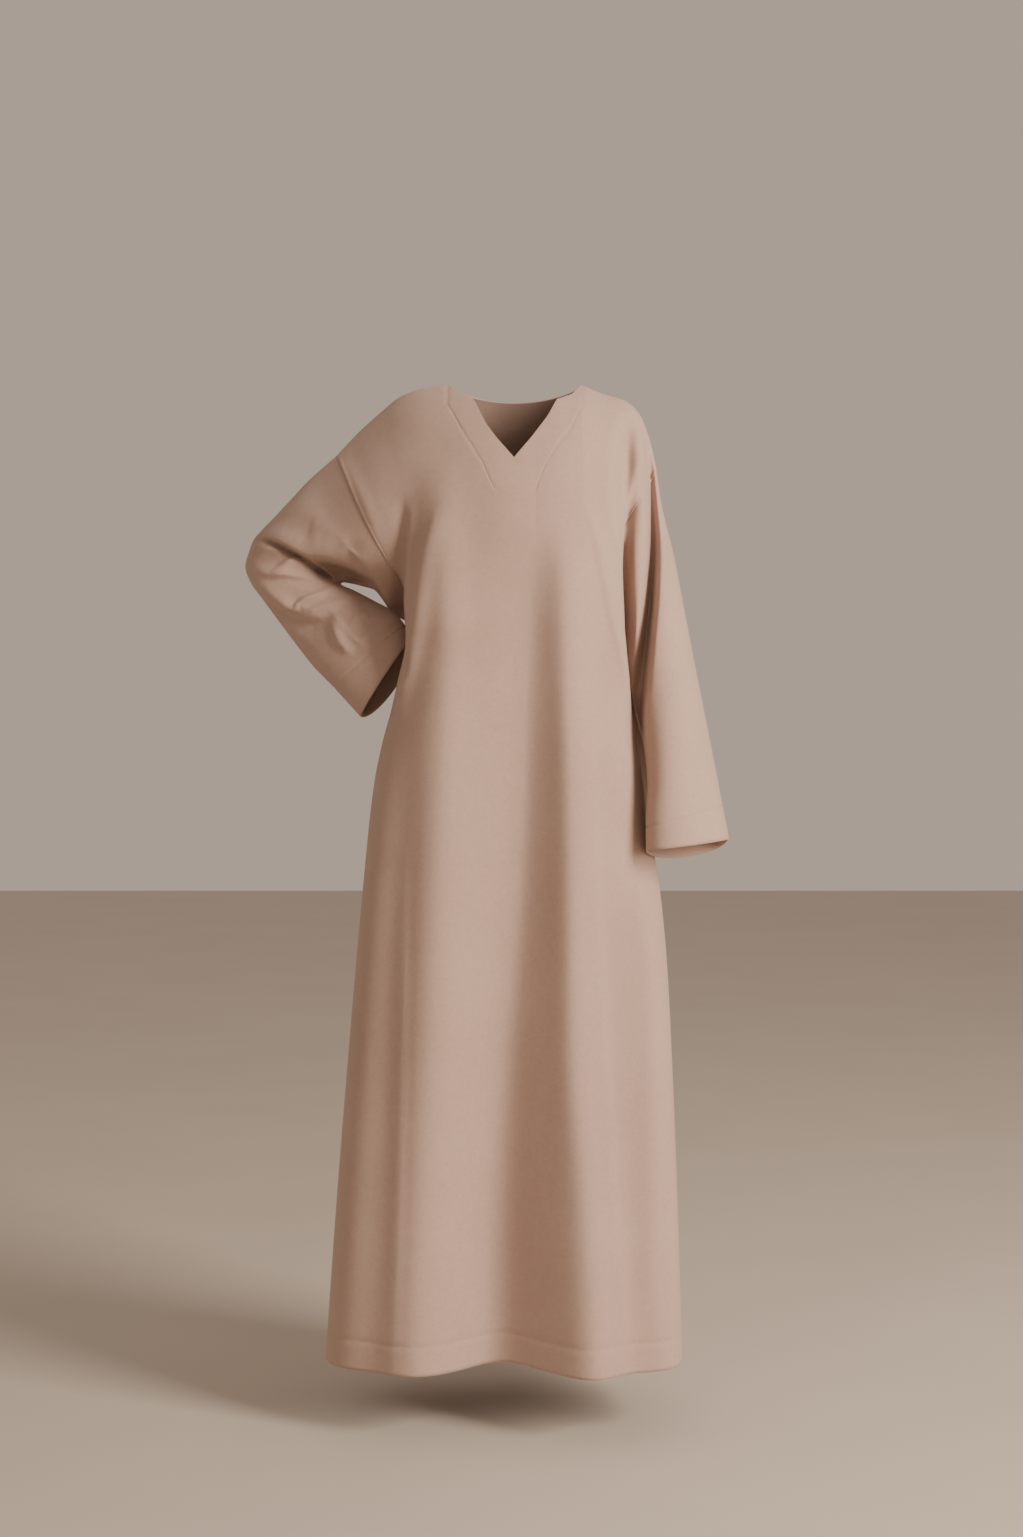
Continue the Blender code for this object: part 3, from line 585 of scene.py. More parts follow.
def columns_across(side):
    """Places of a panel's columns from -1 to 1, evenly spread over the cloth between its edges' corners."""
    stops = [-1, -NECK_ACROSS, NECK_ACROSS, 1]
    if side < 0:
        corners = [NOTCHES[0], FACING_CORNERS[0], SLIT_FOOT, FACING_CORNERS[1], NOTCHES[1]]
        heights = [neckline(x, -1) for x in corners]
        heights[1] = heights[3] = facing_edge(FACING_CORNERS[0], -1)
        stops[2:2] = [across_at(x, z) for x, z in zip(corners, heights)]
    fine = np.linspace(-1, 1, 4001)
    x, y = section(np.full_like(fine, -0.42), fine, side)
    arc = np.concatenate([[0], np.cumsum(np.hypot(np.diff(x), np.diff(y)))])
    arc = arc / arc[-1] + (fine + 1) / 2
    ends = np.interp(stops, fine, arc)
    counts = np.maximum(2, np.round(np.diff(ends) / ends[-1] * PANEL_COLUMNS[side])).astype(int)
    spread = [np.linspace(a, b, n, endpoint=False) for a, b, n in zip(ends, ends[1:], counts)]
    places = np.interp(np.concatenate(spread), arc, fine)
    starts = np.concatenate([[0], np.cumsum(counts)[:-1]])
    places[starts] = stops[:-1]
    beside_seam = 1 - np.array([0.0, 0.004, 0.008, 0.013, 0.019])
    places = np.concatenate([-beside_seam[1:], places, beside_seam])
    places.sort()
    for neck_column in np.nonzero(np.isclose(np.abs(places), NECK_ACROSS))[0]:
        draw_in(places, neck_column)
    return places


def yoke_shares(across, side):
    """The share of each column's height at each yoke row, from 0 at the underarm to 1 at the top."""
    even = np.arange(YOKE_ROWS + 1) / YOKE_ROWS
    plain = 0.15 * even + 0.85 * (1 - np.cos(math.pi * even)) / 2
    turn = plain[FACING_ROW]
    at = np.full_like(across, turn)
    if side < 0:
        inside = np.clip(across, -NECK_ACROSS, NECK_ACROSS)
        own = rise_to(facing_edge, inside, -1) / rise_to(neckline, inside, -1)
        at = turn + (own - turn) * (1 - eased((np.abs(across) - NECK_ACROSS) / 0.25))
    below = plain[: FACING_ROW + 1, None] / turn * at
    above = at + (1 - at) * ((plain[FACING_ROW + 1 :, None] - turn) / (1 - turn))
    shares = np.concatenate([below, above])
    draw_in(shares, FACING_ROW)
    return shares


def hem_height(x, side):
    return HEM_Z + (HEM_LIFT * np.exp(-(((x + 0.006) / HEM_LIFT_WIDTH) ** 2)) if side < 0 else 0 * x)


def panel(side, folds):
    """The outer points of the front (side -1) or the back (1): rows from the hem up, columns towards +X."""
    across = columns_across(side)
    hem = hem_height(section(np.full_like(across, HEM_Z), across, side)[0], side)
    turned = HEM_TURN / (UNDERARM_Z - HEM_Z)
    shares = [np.linspace(0, turned, TURN_ROWS, endpoint=False), np.linspace(turned, 1, SKIRT_ROWS)[:-1]]
    shares = np.concatenate(shares)[:, None]
    draw_in(shares, TURN_ROWS)
    z = hem + (UNDERARM_Z - hem) * shares
    wide = np.broadcast_to(across, z.shape)
    skirt = np.stack([*section(z, wide, side), z], axis=-1)
    top = np.where(np.abs(across) < NECK_ACROSS - 1e-9, rise_to(neckline, across, side), 1.0)
    rises = top * yoke_shares(across, side)
    base = np.concatenate([skirt, yoke(np.broadcast_to(across, rises.shape), rises, side)])
    height = fold_lift(folds, base[..., 0], base[..., 2])
    inward = 1 - np.abs(across)
    height = height * eased(inward / SIDE_FADE)
    height[-YOKE_ROWS - 1 :] *= eased((1 - rises) / SHOULDER_FADE)
    beside_seam = eased(inward / 0.006) * (1 - eased((inward - 0.008) / 0.013))
    height[-YOKE_ROWS - 1 :] += SEAM_RIDGE * beside_seam * eased(rises / 0.06) * eased((1 - rises) / 0.06)
    height[TURN_ROWS] -= STITCH_DIP * eased(inward / 0.02)
    if side < 0:
        outline = np.zeros(height.shape, bool)
        outline[-YOKE_ROWS - 1 + FACING_ROW, np.abs(across) < NECK_ACROSS + 1e-9] = True
        outline[-YOKE_ROWS - 1 + FACING_ROW : -2, np.isclose(np.abs(across), NECK_ACROSS)] = True
        height -= FACING_DIP * outline
    return base + panel_normals(base, side) * height[..., None]


def panel_normals(grid, side):
    return -side * unit(np.cross(np.gradient(grid, axis=1), np.gradient(grid, axis=0)))


def panel_depths(grid, side):
    """The inward direction and the thickness at each point of a panel. Edges at a seam lie square."""
    normals = panel_normals(grid, side)
    normals[:, [0, -1], 1] = 0
    shoulder = np.abs(columns_across(side)) >= NECK_ACROSS - 1e-9
    normals[-1, shoulder, 1] = 0
    thick = np.full(grid.shape[:2], CLOTH)
    thick[:TURN_ROWS] = TURNED_CLOTH
    return unit(normals), thick


def apart(grid, side):
    """The panel drawn back by half a seam's gap along its side seams and shoulder seams."""
    square = np.zeros(grid.shape[:2])
    square[:-YOKE_ROWS, [0, -1]] = 1
    square[-1, np.abs(columns_across(side)) >= NECK_ACROSS - 1e-9] = 1
    moved = grid.copy()
    moved[..., 1] += side * SEAM_GAP / 2 * square
    return moved


def armhole(front, back, at):
    """The ring of the armhole: up the front from the underarm to the shoulder, and down the back."""
    return np.concatenate([front[-YOKE_ROWS - 1 :, at], back[-YOKE_ROWS - 1 :, at][::-1][1:-1]])


def cloth_lengths(grid, closed):
    """Distances along the cloth at each point, across and up, in metres: the lie of the weave."""
    step = np.linalg.norm(np.diff(grid, axis=1), axis=-1)
    wide = np.concatenate([np.zeros((len(grid), 1)), np.cumsum(step, axis=1)], axis=1)
    if not closed:
        wide = wide - wide[:, [wide.shape[1] // 2]]
    rise = np.linalg.norm(np.diff(grid, axis=0), axis=-1).mean(axis=1)
    return wide, np.concatenate([[0], np.cumsum(rise)])[:, None] + 0 * wide


def wall(name, outer, inner, flip, closed=False):
    """A closed wall between two grids of points, with the cloth's own lengths as its UV map."""
    rows, cols = outer.shape[:2]
    wrap = cols if closed else cols - 1
    r, c = np.meshgrid(np.arange(rows - 1), np.arange(wrap), indexing="ij")
    a, b = r * cols + c, r * cols + (c + 1) % cols
    skin = np.stack([a, b, b + cols, a + cols], axis=-1).reshape(-1, 4)
    lift = rows * cols
    faces = [skin, skin[:, ::-1] + lift]
    c = np.arange(wrap)
    low, low_next = c, (c + 1) % cols
    high, high_next = low + (rows - 1) * cols, low_next + (rows - 1) * cols
    faces.append(np.stack([low, low + lift, low_next + lift, low_next], axis=-1))
    faces.append(np.stack([high, high_next, high_next + lift, high + lift], axis=-1))
    if not closed:
        r = np.arange(rows - 1) * cols
        faces.append(np.stack([r, r + cols, r + cols + lift, r + lift], axis=-1))
        r = r + cols - 1
        faces.append(np.stack([r, r + lift, r + cols + lift, r + cols], axis=-1))
    faces = np.concatenate(faces)
    if flip:
        faces = faces[:, ::-1]
    mesh = bpy.data.meshes.new(name)
    points = np.concatenate([outer.reshape(-1, 3), inner.reshape(-1, 3)])
    mesh.from_pydata(points.tolist(), [], faces.tolist())
    whole = np.concatenate([outer, outer[:, :1]], axis=1) if closed else outer
    wide, high = cloth_lengths(whole, closed)
    place = faces % lift
    at_row, at_col = place // cols, place % cols
    if closed:
        at_col = np.where((at_col == 0) & (at_col.max(axis=1, keepdims=True) == cols - 1), cols, at_col)
    layer = mesh.uv_layers.new(name="cloth")
    values = np.stack([wide[at_row, at_col], high[at_row, at_col]], axis=-1)
    layer.data.foreach_set("uv", values.astype(np.float32).ravel())
    mesh.shade_smooth()
    mesh.update()
    obj = bpy.data.objects.new(name, mesh)
    scene.collection.objects.link(obj)
    return obj


def crepe(name, shade=1.0):
    """Heavy brushed crepe: fine diagonal weave, slubs, soft clouds of colour and a dull sheen."""
    shader = Shader(name)
    cloth = shader.node("ShaderNodeUVMap", uv_map="cloth")
    where = shader.node("ShaderNodeTexCoord", output="Object")
    clouds = shader.noise(where, 5.0, 3.0, 0.6)
    brushed = shader.noise(where, 120.0, 4.0, 0.65)
    grain = shader.noise(cloth, 420.0, 3.0, 0.7)
    turned = shader.node("ShaderNodeMapping", cloth, named={"Rotation": (0.0, 0.0, math.radians(52.0))})
    twill = shader.node(
        "ShaderNodeTexWave",
        turned,
        named={"Scale": 330.0, "Distortion": 1.6, "Detail": 2.0, "Detail Scale": 1.5},
    )
    slubs = shader.node("ShaderNodeMapping", cloth, named={"Scale": (900.0, 60.0, 1.0)})
    slub = shader.noise(slubs, 1.0, 2.0)
    tone = clouds * 0.25 + brushed * 0.3 + grain * 0.45
    # shade scales the colour down; below 1 it is painted shade, as on the neck facing
    dark = [0.410 * shade, 0.283 * shade, 0.232 * shade, 1.0]
    light = [0.502 * shade, 0.356 * shade, 0.297 * shade, 1.0]
    colour = shader.mix(shader.node("ShaderNodeMapRange", tone, 0.36, 0.64), dark, light)
    worn = shader.node("ShaderNodeMapRange", brushed, 0.35, 0.65, 0.78, 0.92)
    height = twill * 0.35 + grain * 0.45 + slub * 0.3 + brushed * 0.5
    bump = shader.node("ShaderNodeBump", named={"Strength": 0.45, "Distance": 0.0009, "Height": height})
    shader.set(Base_Color=colour, Roughness=worn, Normal=bump)
    shader.set(Sheen_Weight=0.28, Sheen_Roughness=0.55, Sheen_Tint=(0.95, 0.86, 0.80, 1.0))
    shader.set(Specular_IOR_Level=0.25)
    return shader.material


front = panel(-1, FRONT_FOLDS + FRONT_CREASES)

# ---------------------------------------------------------------- the back
# One panel of the same crepe, sewn to the front at the shoulders and sides. It hangs from the shoulder blades
# in three soft folds with valleys between, and creases lightly under the arms and at the small of the back.
BACK_FOLDS = (
    (
        (-0.105, -0.280, 0.000, 0.040, 0.040),
        (-0.112, -0.480, 0.011, 0.040, 0.040),
        (-0.128, -0.900, 0.024, 0.038, 0.040),
        (-0.150, -1.420, 0.034, 0.040, 0.044),
    ),
    (
        (0.000, -0.400, 0.000, 0.034, 0.034),
        (0.004, -0.700, 0.013, 0.034, 0.034),
        (0.010, -1.420, 0.032, 0.036, 0.036),
    ),
    (
        (0.095, -0.280, 0.000, 0.040, 0.040),
        (0.104, -0.480, 0.011, 0.040, 0.040),
        (0.120, -0.900, 0.024, 0.040, 0.038),
        (0.140, -1.420, 0.034, 0.044, 0.040),
    ),
    (
        (-0.050, -0.420, 0.000, 0.026, 0.026),
        (-0.058, -0.700, -0.016, 0.026, 0.026),
        (-0.070, -1.420, -0.034, 0.030, 0.030),
    ),
    (
        (0.046, -0.420, 0.000, 0.026, 0.026),
        (0.056, -0.700, -0.015, 0.026, 0.026),
        (0.078, -1.420, -0.032, 0.030, 0.030),
    ),
)
BACK_CREASES = (
    (
        (-0.172, -0.150, 0.000, 0.010, 0.016),
        (-0.154, -0.210, 0.005, 0.010, 0.018),
        (-0.140, -0.290, 0.006, 0.010, 0.018),
        (-0.134, -0.370, 0.000, 0.010, 0.016),
    ),
    (
        (0.168, -0.150, 0.000, 0.016, 0.010),
        (0.152, -0.210, 0.005, 0.018, 0.010),
        (0.140, -0.290, 0.006, 0.018, 0.010),
        (0.134, -0.370, 0.000, 0.016, 0.010),
    ),
    (
        (-0.140, -0.350, 0.000, 0.010, 0.008),
        (-0.112, -0.395, 0.004, 0.011, 0.008),
        (-0.078, -0.430, 0.004, 0.012, 0.008),
        (-0.040, -0.450, 0.000, 0.010, 0.008),
    ),
    (
        (0.140, -0.352, 0.000, 0.008, 0.010),
        (0.108, -0.398, 0.004, 0.008, 0.011),
        (0.072, -0.436, 0.004, 0.008, 0.012),
        (0.034, -0.462, 0.000, 0.008, 0.010),
    ),
)
back = panel(1, BACK_FOLDS + BACK_CREASES)

# ---------------------------------------------------------------- the sleeves
# Each sleeve is a tube let into the dropped armhole, wide at the cuff, with a 41 mm stitched hem. The right
# one bends at the elbow and comes down to the hip. The left one hangs beside the body, open at the hand.
SLEEVE_ROWS = 276
PAST_SEAM = 12  # a row of a sleeve clear of the armhole
SETTLED = 0.30  # the share of a sleeve over which the armhole's own shape dies away
SLEEVE_COLUMNS = (
    *("outer_x", "outer_y", "outer_z", "inner_x", "inner_y", "inner_z"),
    *("depth", "front_lean", "back_lean"),
)
RIGHT_SLEEVE = (
    (-0.302, 0.032, -0.139, -0.180, 0.017, -0.332, 0.061, 0.004, 0.004),
    (-0.330, 0.038, -0.168, -0.200, 0.022, -0.302, 0.059, 0.008, 0.008),
    (-0.356, 0.045, -0.195, -0.220, 0.030, -0.293, 0.054, 0.009, 0.009),
    (-0.375, 0.050, -0.214, -0.239, 0.037, -0.288, 0.051, 0.008, 0.008),
    (-0.385, 0.053, -0.226, -0.249, 0.041, -0.287, 0.049, 0.005, 0.005),
    (-0.391, 0.055, -0.241, -0.254, 0.043, -0.288, 0.048, 0.002, 0.002),
    (-0.397, 0.056, -0.263, -0.255, 0.043, -0.290, 0.047, 0.002, 0.002),
    (-0.389, 0.053, -0.287, -0.249, 0.041, -0.294, 0.047, 0.004, 0.004),
    (-0.370, 0.047, -0.313, -0.235, 0.036, -0.300, 0.047, 0.006, 0.006),
    (-0.338, 0.033, -0.355, -0.206, 0.026, -0.315, 0.047, 0.006, 0.008),
    (-0.294, 0.012, -0.410, -0.176, 0.008, -0.332, 0.046, 0.005, 0.011),
    (-0.264, -0.002, -0.440, -0.159, -0.002, -0.352, 0.045, 0.004, 0.014),
    (-0.223, -0.012, -0.484, -0.151, -0.010, -0.376, 0.045, 0.003, 0.017),
)
LEFT_SLEEVE = (
    (0.214, 0.016, -0.178, 0.157, 0.006, -0.388, 0.068, 0.000, 0.000),
    (0.230, 0.010, -0.245, 0.162, -0.008, -0.425, 0.067, 0.001, 0.002),
    (0.247, 0.004, -0.335, 0.172, -0.028, -0.470, 0.065, 0.001, 0.005),
    (0.266, -0.006, -0.437, 0.184, -0.052, -0.528, 0.062, 0.001, 0.010),
    (0.283, -0.014, -0.525, 0.188, -0.070, -0.582, 0.060, 0.002, 0.015),
    (0.297, -0.022, -0.600, 0.185, -0.082, -0.631, 0.059, 0.002, 0.019),
    (0.308, -0.028, -0.659, 0.185, -0.090, -0.671, 0.058, 0.002, 0.022),
)


RIGHT_CREASES = (
    (
        (-0.292, -0.258, 0.000, 0.012, 0.004),
        (-0.276, -0.262, -0.030, 0.014, 0.004),
        (-0.256, -0.266, -0.040, 0.016, 0.004),
        (-0.236, -0.274, -0.038, 0.016, 0.004),
        (-0.218, -0.283, -0.026, 0.014, 0.004),
        (-0.200, -0.294, 0.000, 0.010, 0.004),
    ),
    (
        (-0.368, -0.226, 0.000, 0.006, 0.003),
        (-0.351, -0.231, -0.012, 0.006, 0.003),
        (-0.329, -0.242, -0.022, 0.007, 0.003),
        (-0.307, -0.254, -0.028, 0.007, 0.003),
        (-0.291, -0.265, -0.032, 0.008, 0.003),
        (-0.279, -0.275, -0.030, 0.007, 0.003),
        (-0.264, -0.285, 0.000, 0.006, 0.003),
    ),
    (
        (-0.378, -0.219, 0.000, 0.003, 0.012),
        (-0.345, -0.228, 0.008, 0.003, 0.018),
        (-0.320, -0.241, 0.012, 0.003, 0.024),
        (-0.304, -0.249, 0.014, 0.003, 0.028),
        (-0.290, -0.250, 0.016, 0.004, 0.030),
        (-0.275, -0.252, 0.017, 0.004, 0.030),
        (-0.259, -0.257, 0.017, 0.004, 0.030),
        (-0.230, -0.267, 0.011, 0.004, 0.026),
        (-0.210, -0.278, 0.006, 0.004, 0.022),
        (-0.186, -0.292, 0.000, 0.004, 0.018),
    ),
    (
        (-0.246, -0.238, 0.000, 0.004, 0.010),
        (-0.232, -0.242, -0.003, 0.004, 0.010),
        (-0.218, -0.250, 0.000, 0.004, 0.010),
    ),
    (
        (-0.394, -0.250, 0.000, 0.005, 0.004),
        (-0.370, -0.242, 0.004, 0.005, 0.004),
        (-0.354, -0.239, 0.005, 0.005, 0.004),
        (-0.338, -0.242, 0.004, 0.005, 0.004),
        (-0.318, -0.247, 0.000, 0.005, 0.004),
    ),
    (
        (-0.390, -0.229, 0.000, 0.005, 0.004),
        (-0.376, -0.236, 0.004, 0.005, 0.004),
        (-0.360, -0.233, 0.003, 0.005, 0.004),
        (-0.345, -0.236, 0.000, 0.005, 0.004),
    ),
    (
        (-0.356, -0.275, 0.000, 0.010, 0.003),
        (-0.338, -0.264, 0.005, 0.011, 0.003),
        (-0.326, -0.256, 0.007, 0.011, 0.003),
        (-0.314, -0.253, 0.007, 0.011, 0.003),
        (-0.301, -0.257, 0.007, 0.010, 0.003),
        (-0.286, -0.268, 0.004, 0.008, 0.003),
        (-0.276, -0.279, 0.000, 0.006, 0.003),
    ),
    (
        (-0.308, -0.254, 0.000, 0.005, 0.003),
        (-0.297, -0.263, -0.005, 0.005, 0.003),
        (-0.284, -0.274, -0.006, 0.005, 0.003),
        (-0.272, -0.284, 0.000, 0.005, 0.003),
    ),
    (
        (-0.392, -0.258, 0.000, 0.005, 0.012),
        (-0.378, -0.271, 0.005, 0.005, 0.013),
        (-0.360, -0.276, 0.007, 0.005, 0.013),
        (-0.335, -0.277, 0.006, 0.005, 0.012),
        (-0.313, -0.280, 0.005, 0.005, 0.010),
        (-0.284, -0.285, 0.004, 0.005, 0.008),
        (-0.252, -0.294, 0.000, 0.005, 0.007),
    ),
    (
        (-0.392, -0.274, 0.000, 0.004, 0.014),
        (-0.380, -0.292, 0.007, 0.004, 0.015),
        (-0.366, -0.306, 0.010, 0.004, 0.016),
        (-0.348, -0.318, 0.011, 0.004, 0.016),
        (-0.330, -0.327, 0.010, 0.004, 0.014),
        (-0.311, -0.331, 0.000, 0.004, 0.010),
    ),
    (
        (-0.320, -0.333, 0.000, 0.009, 0.003),
        (-0.316, -0.321, 0.005, 0.010, 0.003),
        (-0.304, -0.312, 0.006, 0.010, 0.003),
        (-0.286, -0.306, 0.005, 0.010, 0.003),
        (-0.262, -0.295, 0.000, 0.009, 0.003),
    ),
    (
        (-0.318, -0.329, 0.000, 0.009, 0.006),
        (-0.294, -0.329, 0.005, 0.010, 0.006),
        (-0.275, -0.323, 0.005, 0.010, 0.007),
        (-0.246, -0.315, 0.003, 0.010, 0.007),
        (-0.222, -0.307, 0.000, 0.010, 0.007),
    ),
    (
        (-0.376, -0.298, 0.000, 0.012, 0.004),
        (-0.350, -0.325, -0.008, 0.018, 0.005),
        (-0.322, -0.342, -0.013, 0.020, 0.006),
        (-0.297, -0.350, -0.013, 0.018, 0.007),
        (-0.278, -0.348, -0.009, 0.015, 0.007),
        (-0.260, -0.334, 0.000, 0.012, 0.006),
    ),
    (
        (-0.262, -0.336, 0.000, 0.008, 0.012),
        (-0.260, -0.354, 0.007, 0.007, 0.012),
        (-0.254, -0.372, 0.010, 0.007, 0.012),
        (-0.242, -0.386, 0.007, 0.007, 0.010),
        (-0.230, -0.392, 0.000, 0.006, 0.008),
    ),
    (
        (-0.274, -0.321, 0.000, 0.004, 0.004),
        (-0.252, -0.347, 0.002, 0.004, 0.004),
        (-0.235, -0.367, 0.003, 0.004, 0.004),
        (-0.212, -0.389, 0.000, 0.004, 0.004),
    ),
    (
        (-0.243, -0.362, 0.000, 0.007, 0.004),
        (-0.224, -0.373, 0.004, 0.007, 0.004),
        (-0.205, -0.363, 0.004, 0.007, 0.004),
        (-0.188, -0.350, 0.003, 0.007, 0.004),
        (-0.166, -0.339, 0.000, 0.007, 0.004),
    ),
    (
        (-0.238, -0.354, 0.000, 0.005, 0.004),
        (-0.229, -0.340, 0.003, 0.005, 0.004),
        (-0.217, -0.334, 0.0035, 0.006, 0.004),
        (-0.211, -0.342, 0.000, 0.006, 0.004),
    ),
)


# The angle of each place round a sleeve: half a turn at the underarm, 0 on top, and positive in front, where
# the sleeve takes its folds.
turn = math.pi * (1 - np.arange(2 * YOKE_ROWS) / YOKE_ROWS)
in_front = eased(np.sin(turn) / 0.5)


def sleeve(ring, table):
    """The outer points of a sleeve: one ring for each row, from the armhole's own ring to the cuff."""
    first = (*ring[YOKE_ROWS], *ring[0], ARMHOLE_BULGE, 0.0, 0.0)
    values = np.array((first,) + tuple(table))
    runs = np.linalg.norm(np.diff(values[:, :3], axis=0), axis=1)
    runs = runs + np.linalg.norm(np.diff(values[:, 3:6], axis=0), axis=1)
    reach = np.concatenate([[0], np.cumsum(runs)])
    turned = 1 - HEM_TURN / (reach[-1] / 2)
    along = np.linspace(0, turned, SLEEVE_ROWS, endpoint=False)
    along = np.concatenate([along, np.linspace(turned, 1, TURN_ROWS + 1)])
    draw_in(along, SLEEVE_ROWS)
    rows = np.stack([smooth(reach / reach[-1], values[:, i], along) for i in range(values.shape[1])], axis=1)
    rings = []
    others = rows[:, SLEEVE_COLUMNS.index("depth") :].T
    for outer, inner, depth, front_lean, back_lean in zip(rows[:, :3], rows[:, 3:6], *others):
        radius = (outer - inner) / 2
        down = unit(np.cross([0, 1, 0], radius)) * np.sign(radius[0])
        lean = np.where(turn > 0, -front_lean, back_lean) * np.abs(np.sin(turn))
        ring_here = (outer + inner) / 2 + np.cos(turn)[:, None] * radius + lean[:, None] * down
        rings.append(ring_here - np.sin(turn)[:, None] * np.array([0, depth, 0]))
    rings = np.array(rings)
    return rings + (ring - rings[0]) * (1 - eased(along / SETTLED))[:, None, None]


def pleated(grid, folds, share):
    """The grid with the folds pushed straight forward, or back where their height is negative."""
    moved = grid.copy()
    moved[..., 1] -= fold_lift(folds, grid[..., 0], grid[..., 2]) * share
    return moved


def tube_normals(grid):
    around = np.roll(grid, -1, axis=1) - np.roll(grid, 1, axis=1)
    normals = unit(np.cross(around, np.gradient(grid, axis=0)))
    out = grid - grid.mean(axis=1, keepdims=True)
    return normals * np.sign((normals * out).sum())


def set_in(rings, at):
    """A sleeve's outer and inner points, with the mitre that it shares with the body at the armhole."""
    normals = tube_normals(rings)
    body = armhole(front_in, back_in, at)
    mitre = unit(body + normals[0])
    open_by = np.clip((mitre * body).sum(axis=-1), 0.6, 1)
    half = YOKE_ROWS
    behind = np.concatenate([[0], np.arange(half, 2 * half)[::-1][:-1], [half]])
    front_in[-half - 1 :, at] = mitre[: half + 1]
    front_thick[-half - 1 :, at] = CLOTH / open_by[: half + 1]
    back_in[-half - 1 :, at] = mitre[behind]
    back_thick[-half - 1 :, at] = CLOTH / open_by[behind]
    around = np.roll(rings[0], -1, axis=0) - np.roll(rings[0], 1, axis=0)
    away = unit(np.cross(around, mitre))
    away = away * np.sign((away * (rings[PAST_SEAM] - rings[0])).sum())
    rings[0] += away * SEAM_GAP
    for row, dip in ((1, SEAM_DIP), (SLEEVE_ROWS - 1, STITCH_DIP * 0.6), (SLEEVE_ROWS, STITCH_DIP)):
        rings[row] -= normals[row] * dip
    normals[0] = mitre
    thick = np.full(rings.shape[:2], CLOTH)
    thick[0] = CLOTH / open_by
    thick[-TURN_ROWS:] = TURNED_CLOTH
    return rings, rings - normals * thick[..., None]


right_rings = sleeve(armhole(front, back, 0), RIGHT_SLEEVE)
left_rings = sleeve(armhole(front, back, -1), LEFT_SLEEVE)
from_seam = np.arange(len(left_rings))[:, None] / len(left_rings)
right_rings = pleated(right_rings, ARMHOLE_FOLDS, in_front * (1 - eased((from_seam - 0.15) / 0.1)))
right_rings = pleated(right_rings, SEAM_FOLDS, in_front)
left_rings = pleated(left_rings, ARMHOLE_FOLDS, in_front)
right_rings = pleated(right_rings, RIGHT_CREASES, in_front)
left_rings = pleated(left_rings, CROOK_FOLDS, in_front * eased(from_seam / 0.05))

# The front takes the same folds near its armholes, so that its edge and the sleeve's ring stay one line.
at_ring = np.zeros(len(front))
at_ring[-YOKE_ROWS - 1 :] = in_front[: YOKE_ROWS + 1]
from_edge = eased((1 - np.abs(columns_across(-1))) / 0.15)
from_edge = np.where(np.arange(len(front))[:, None] > len(front) - YOKE_ROWS / 2, 0, from_edge)
front = pleated(front, ARMHOLE_FOLDS + SEAM_FOLDS, 1 - (1 - at_ring[:, None]) * (1 - from_edge))

front_in, front_thick = panel_depths(front, -1)
back_in, back_thick = panel_depths(back, 1)
front, back = apart(front, -1), apart(back, 1)

def join(piece, name, shade=1.0):
    """Give a wall of cloth its crepe, hang it from the root, and hide the solid of the model that it takes
    the place of.
    """
    piece.data.materials.append(crepe(name + "_crepe", shade))
    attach(piece, "root")
    name + "_cloth"
    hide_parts(name)


for name, rings, at, flat, area in (
    ("sleeve_right", right_rings, 0, (0.46, 0.44), 0.175),
    ("sleeve_left", left_rings, -1, (0.46, 0.46), 0.18),
):
    outer, inner = set_in(rings, at)
    join(wall(name + "_cloth", outer, inner, flip=at < 0, closed=True), name)

# The walls of the two panels, now that their armhole edges are mitred.
for name, grid, inwards, thick, side, flat, area in (
    ("front", front, front_in, front_thick, -1, (0.80, 1.44), 0.84),
    ("back", back, back_in, back_thick, 1, (0.80, 1.44), 0.85),
):
    join(wall(name + "_cloth", grid, grid - inwards * thick[..., None], flip=side > 0), name)

# ---------------------------------------------------------------- the neck facing
# A thin shaped piece of the same crepe, turned to the inside round the V and stitched down along its edge.
# It lies 0.3 mm behind the front and is made from the front's own points. Its crepe is 8% darker as painted
# shade.
FACING_CLOTH = 0.0012
# painted shade: the facing's crepe colour is scaled to 0.92 because it lies inside the neck
FACING_PAINTED_SHADE = 0.92
inside_neck = np.abs(columns_across(-1)) <= NECK_ACROSS + 1e-9
block = (slice(-YOKE_ROWS - 1 + FACING_ROW, None), inside_neck)
facing_outer = front[block] - front_in[block] * (front_thick[block] + SEAM_GAP)[..., None]
facing = wall("neck_facing_cloth", facing_outer, facing_outer - front_in[block] * FACING_CLOTH, flip=False)
join(facing, "neck_facing", shade=FACING_PAINTED_SHADE)

# ---------------------------------------------------------------- the stitching
# Straight stitches of matt thread, half a millimetre thick, each sunk in the groove that it pulls. One line
# holds the turned hem all round, one holds each cuff, and one outlines the facing of the neck.
STITCH_LENGTH = 0.0032
STITCH_SPACING = 0.0044
THREAD = 0.0006
STANDS_OFF = 0.2  # how far a stitch lies off the cloth, in threads


def thread(name):
    """Spun polyester thread: dull, a little lighter than the cloth, with the fine ribs of its twist."""
    shader = Shader(name)
    where = shader.node("ShaderNodeTexCoord", output="Object")
    ribs = shader.noise(where, 2400.0, 2.0)
    shader.set(Base_Color=shader.mix(ribs, (0.47, 0.34, 0.28, 1.0), (0.60, 0.45, 0.38, 1.0)), Roughness=0.7)
    bump = shader.node("ShaderNodeBump", named={"Strength": 0.4, "Distance": 0.0002, "Height": ribs})
    shader.set(Normal=bump, Sheen_Weight=0.2, Sheen_Roughness=0.5)
    return shader.material


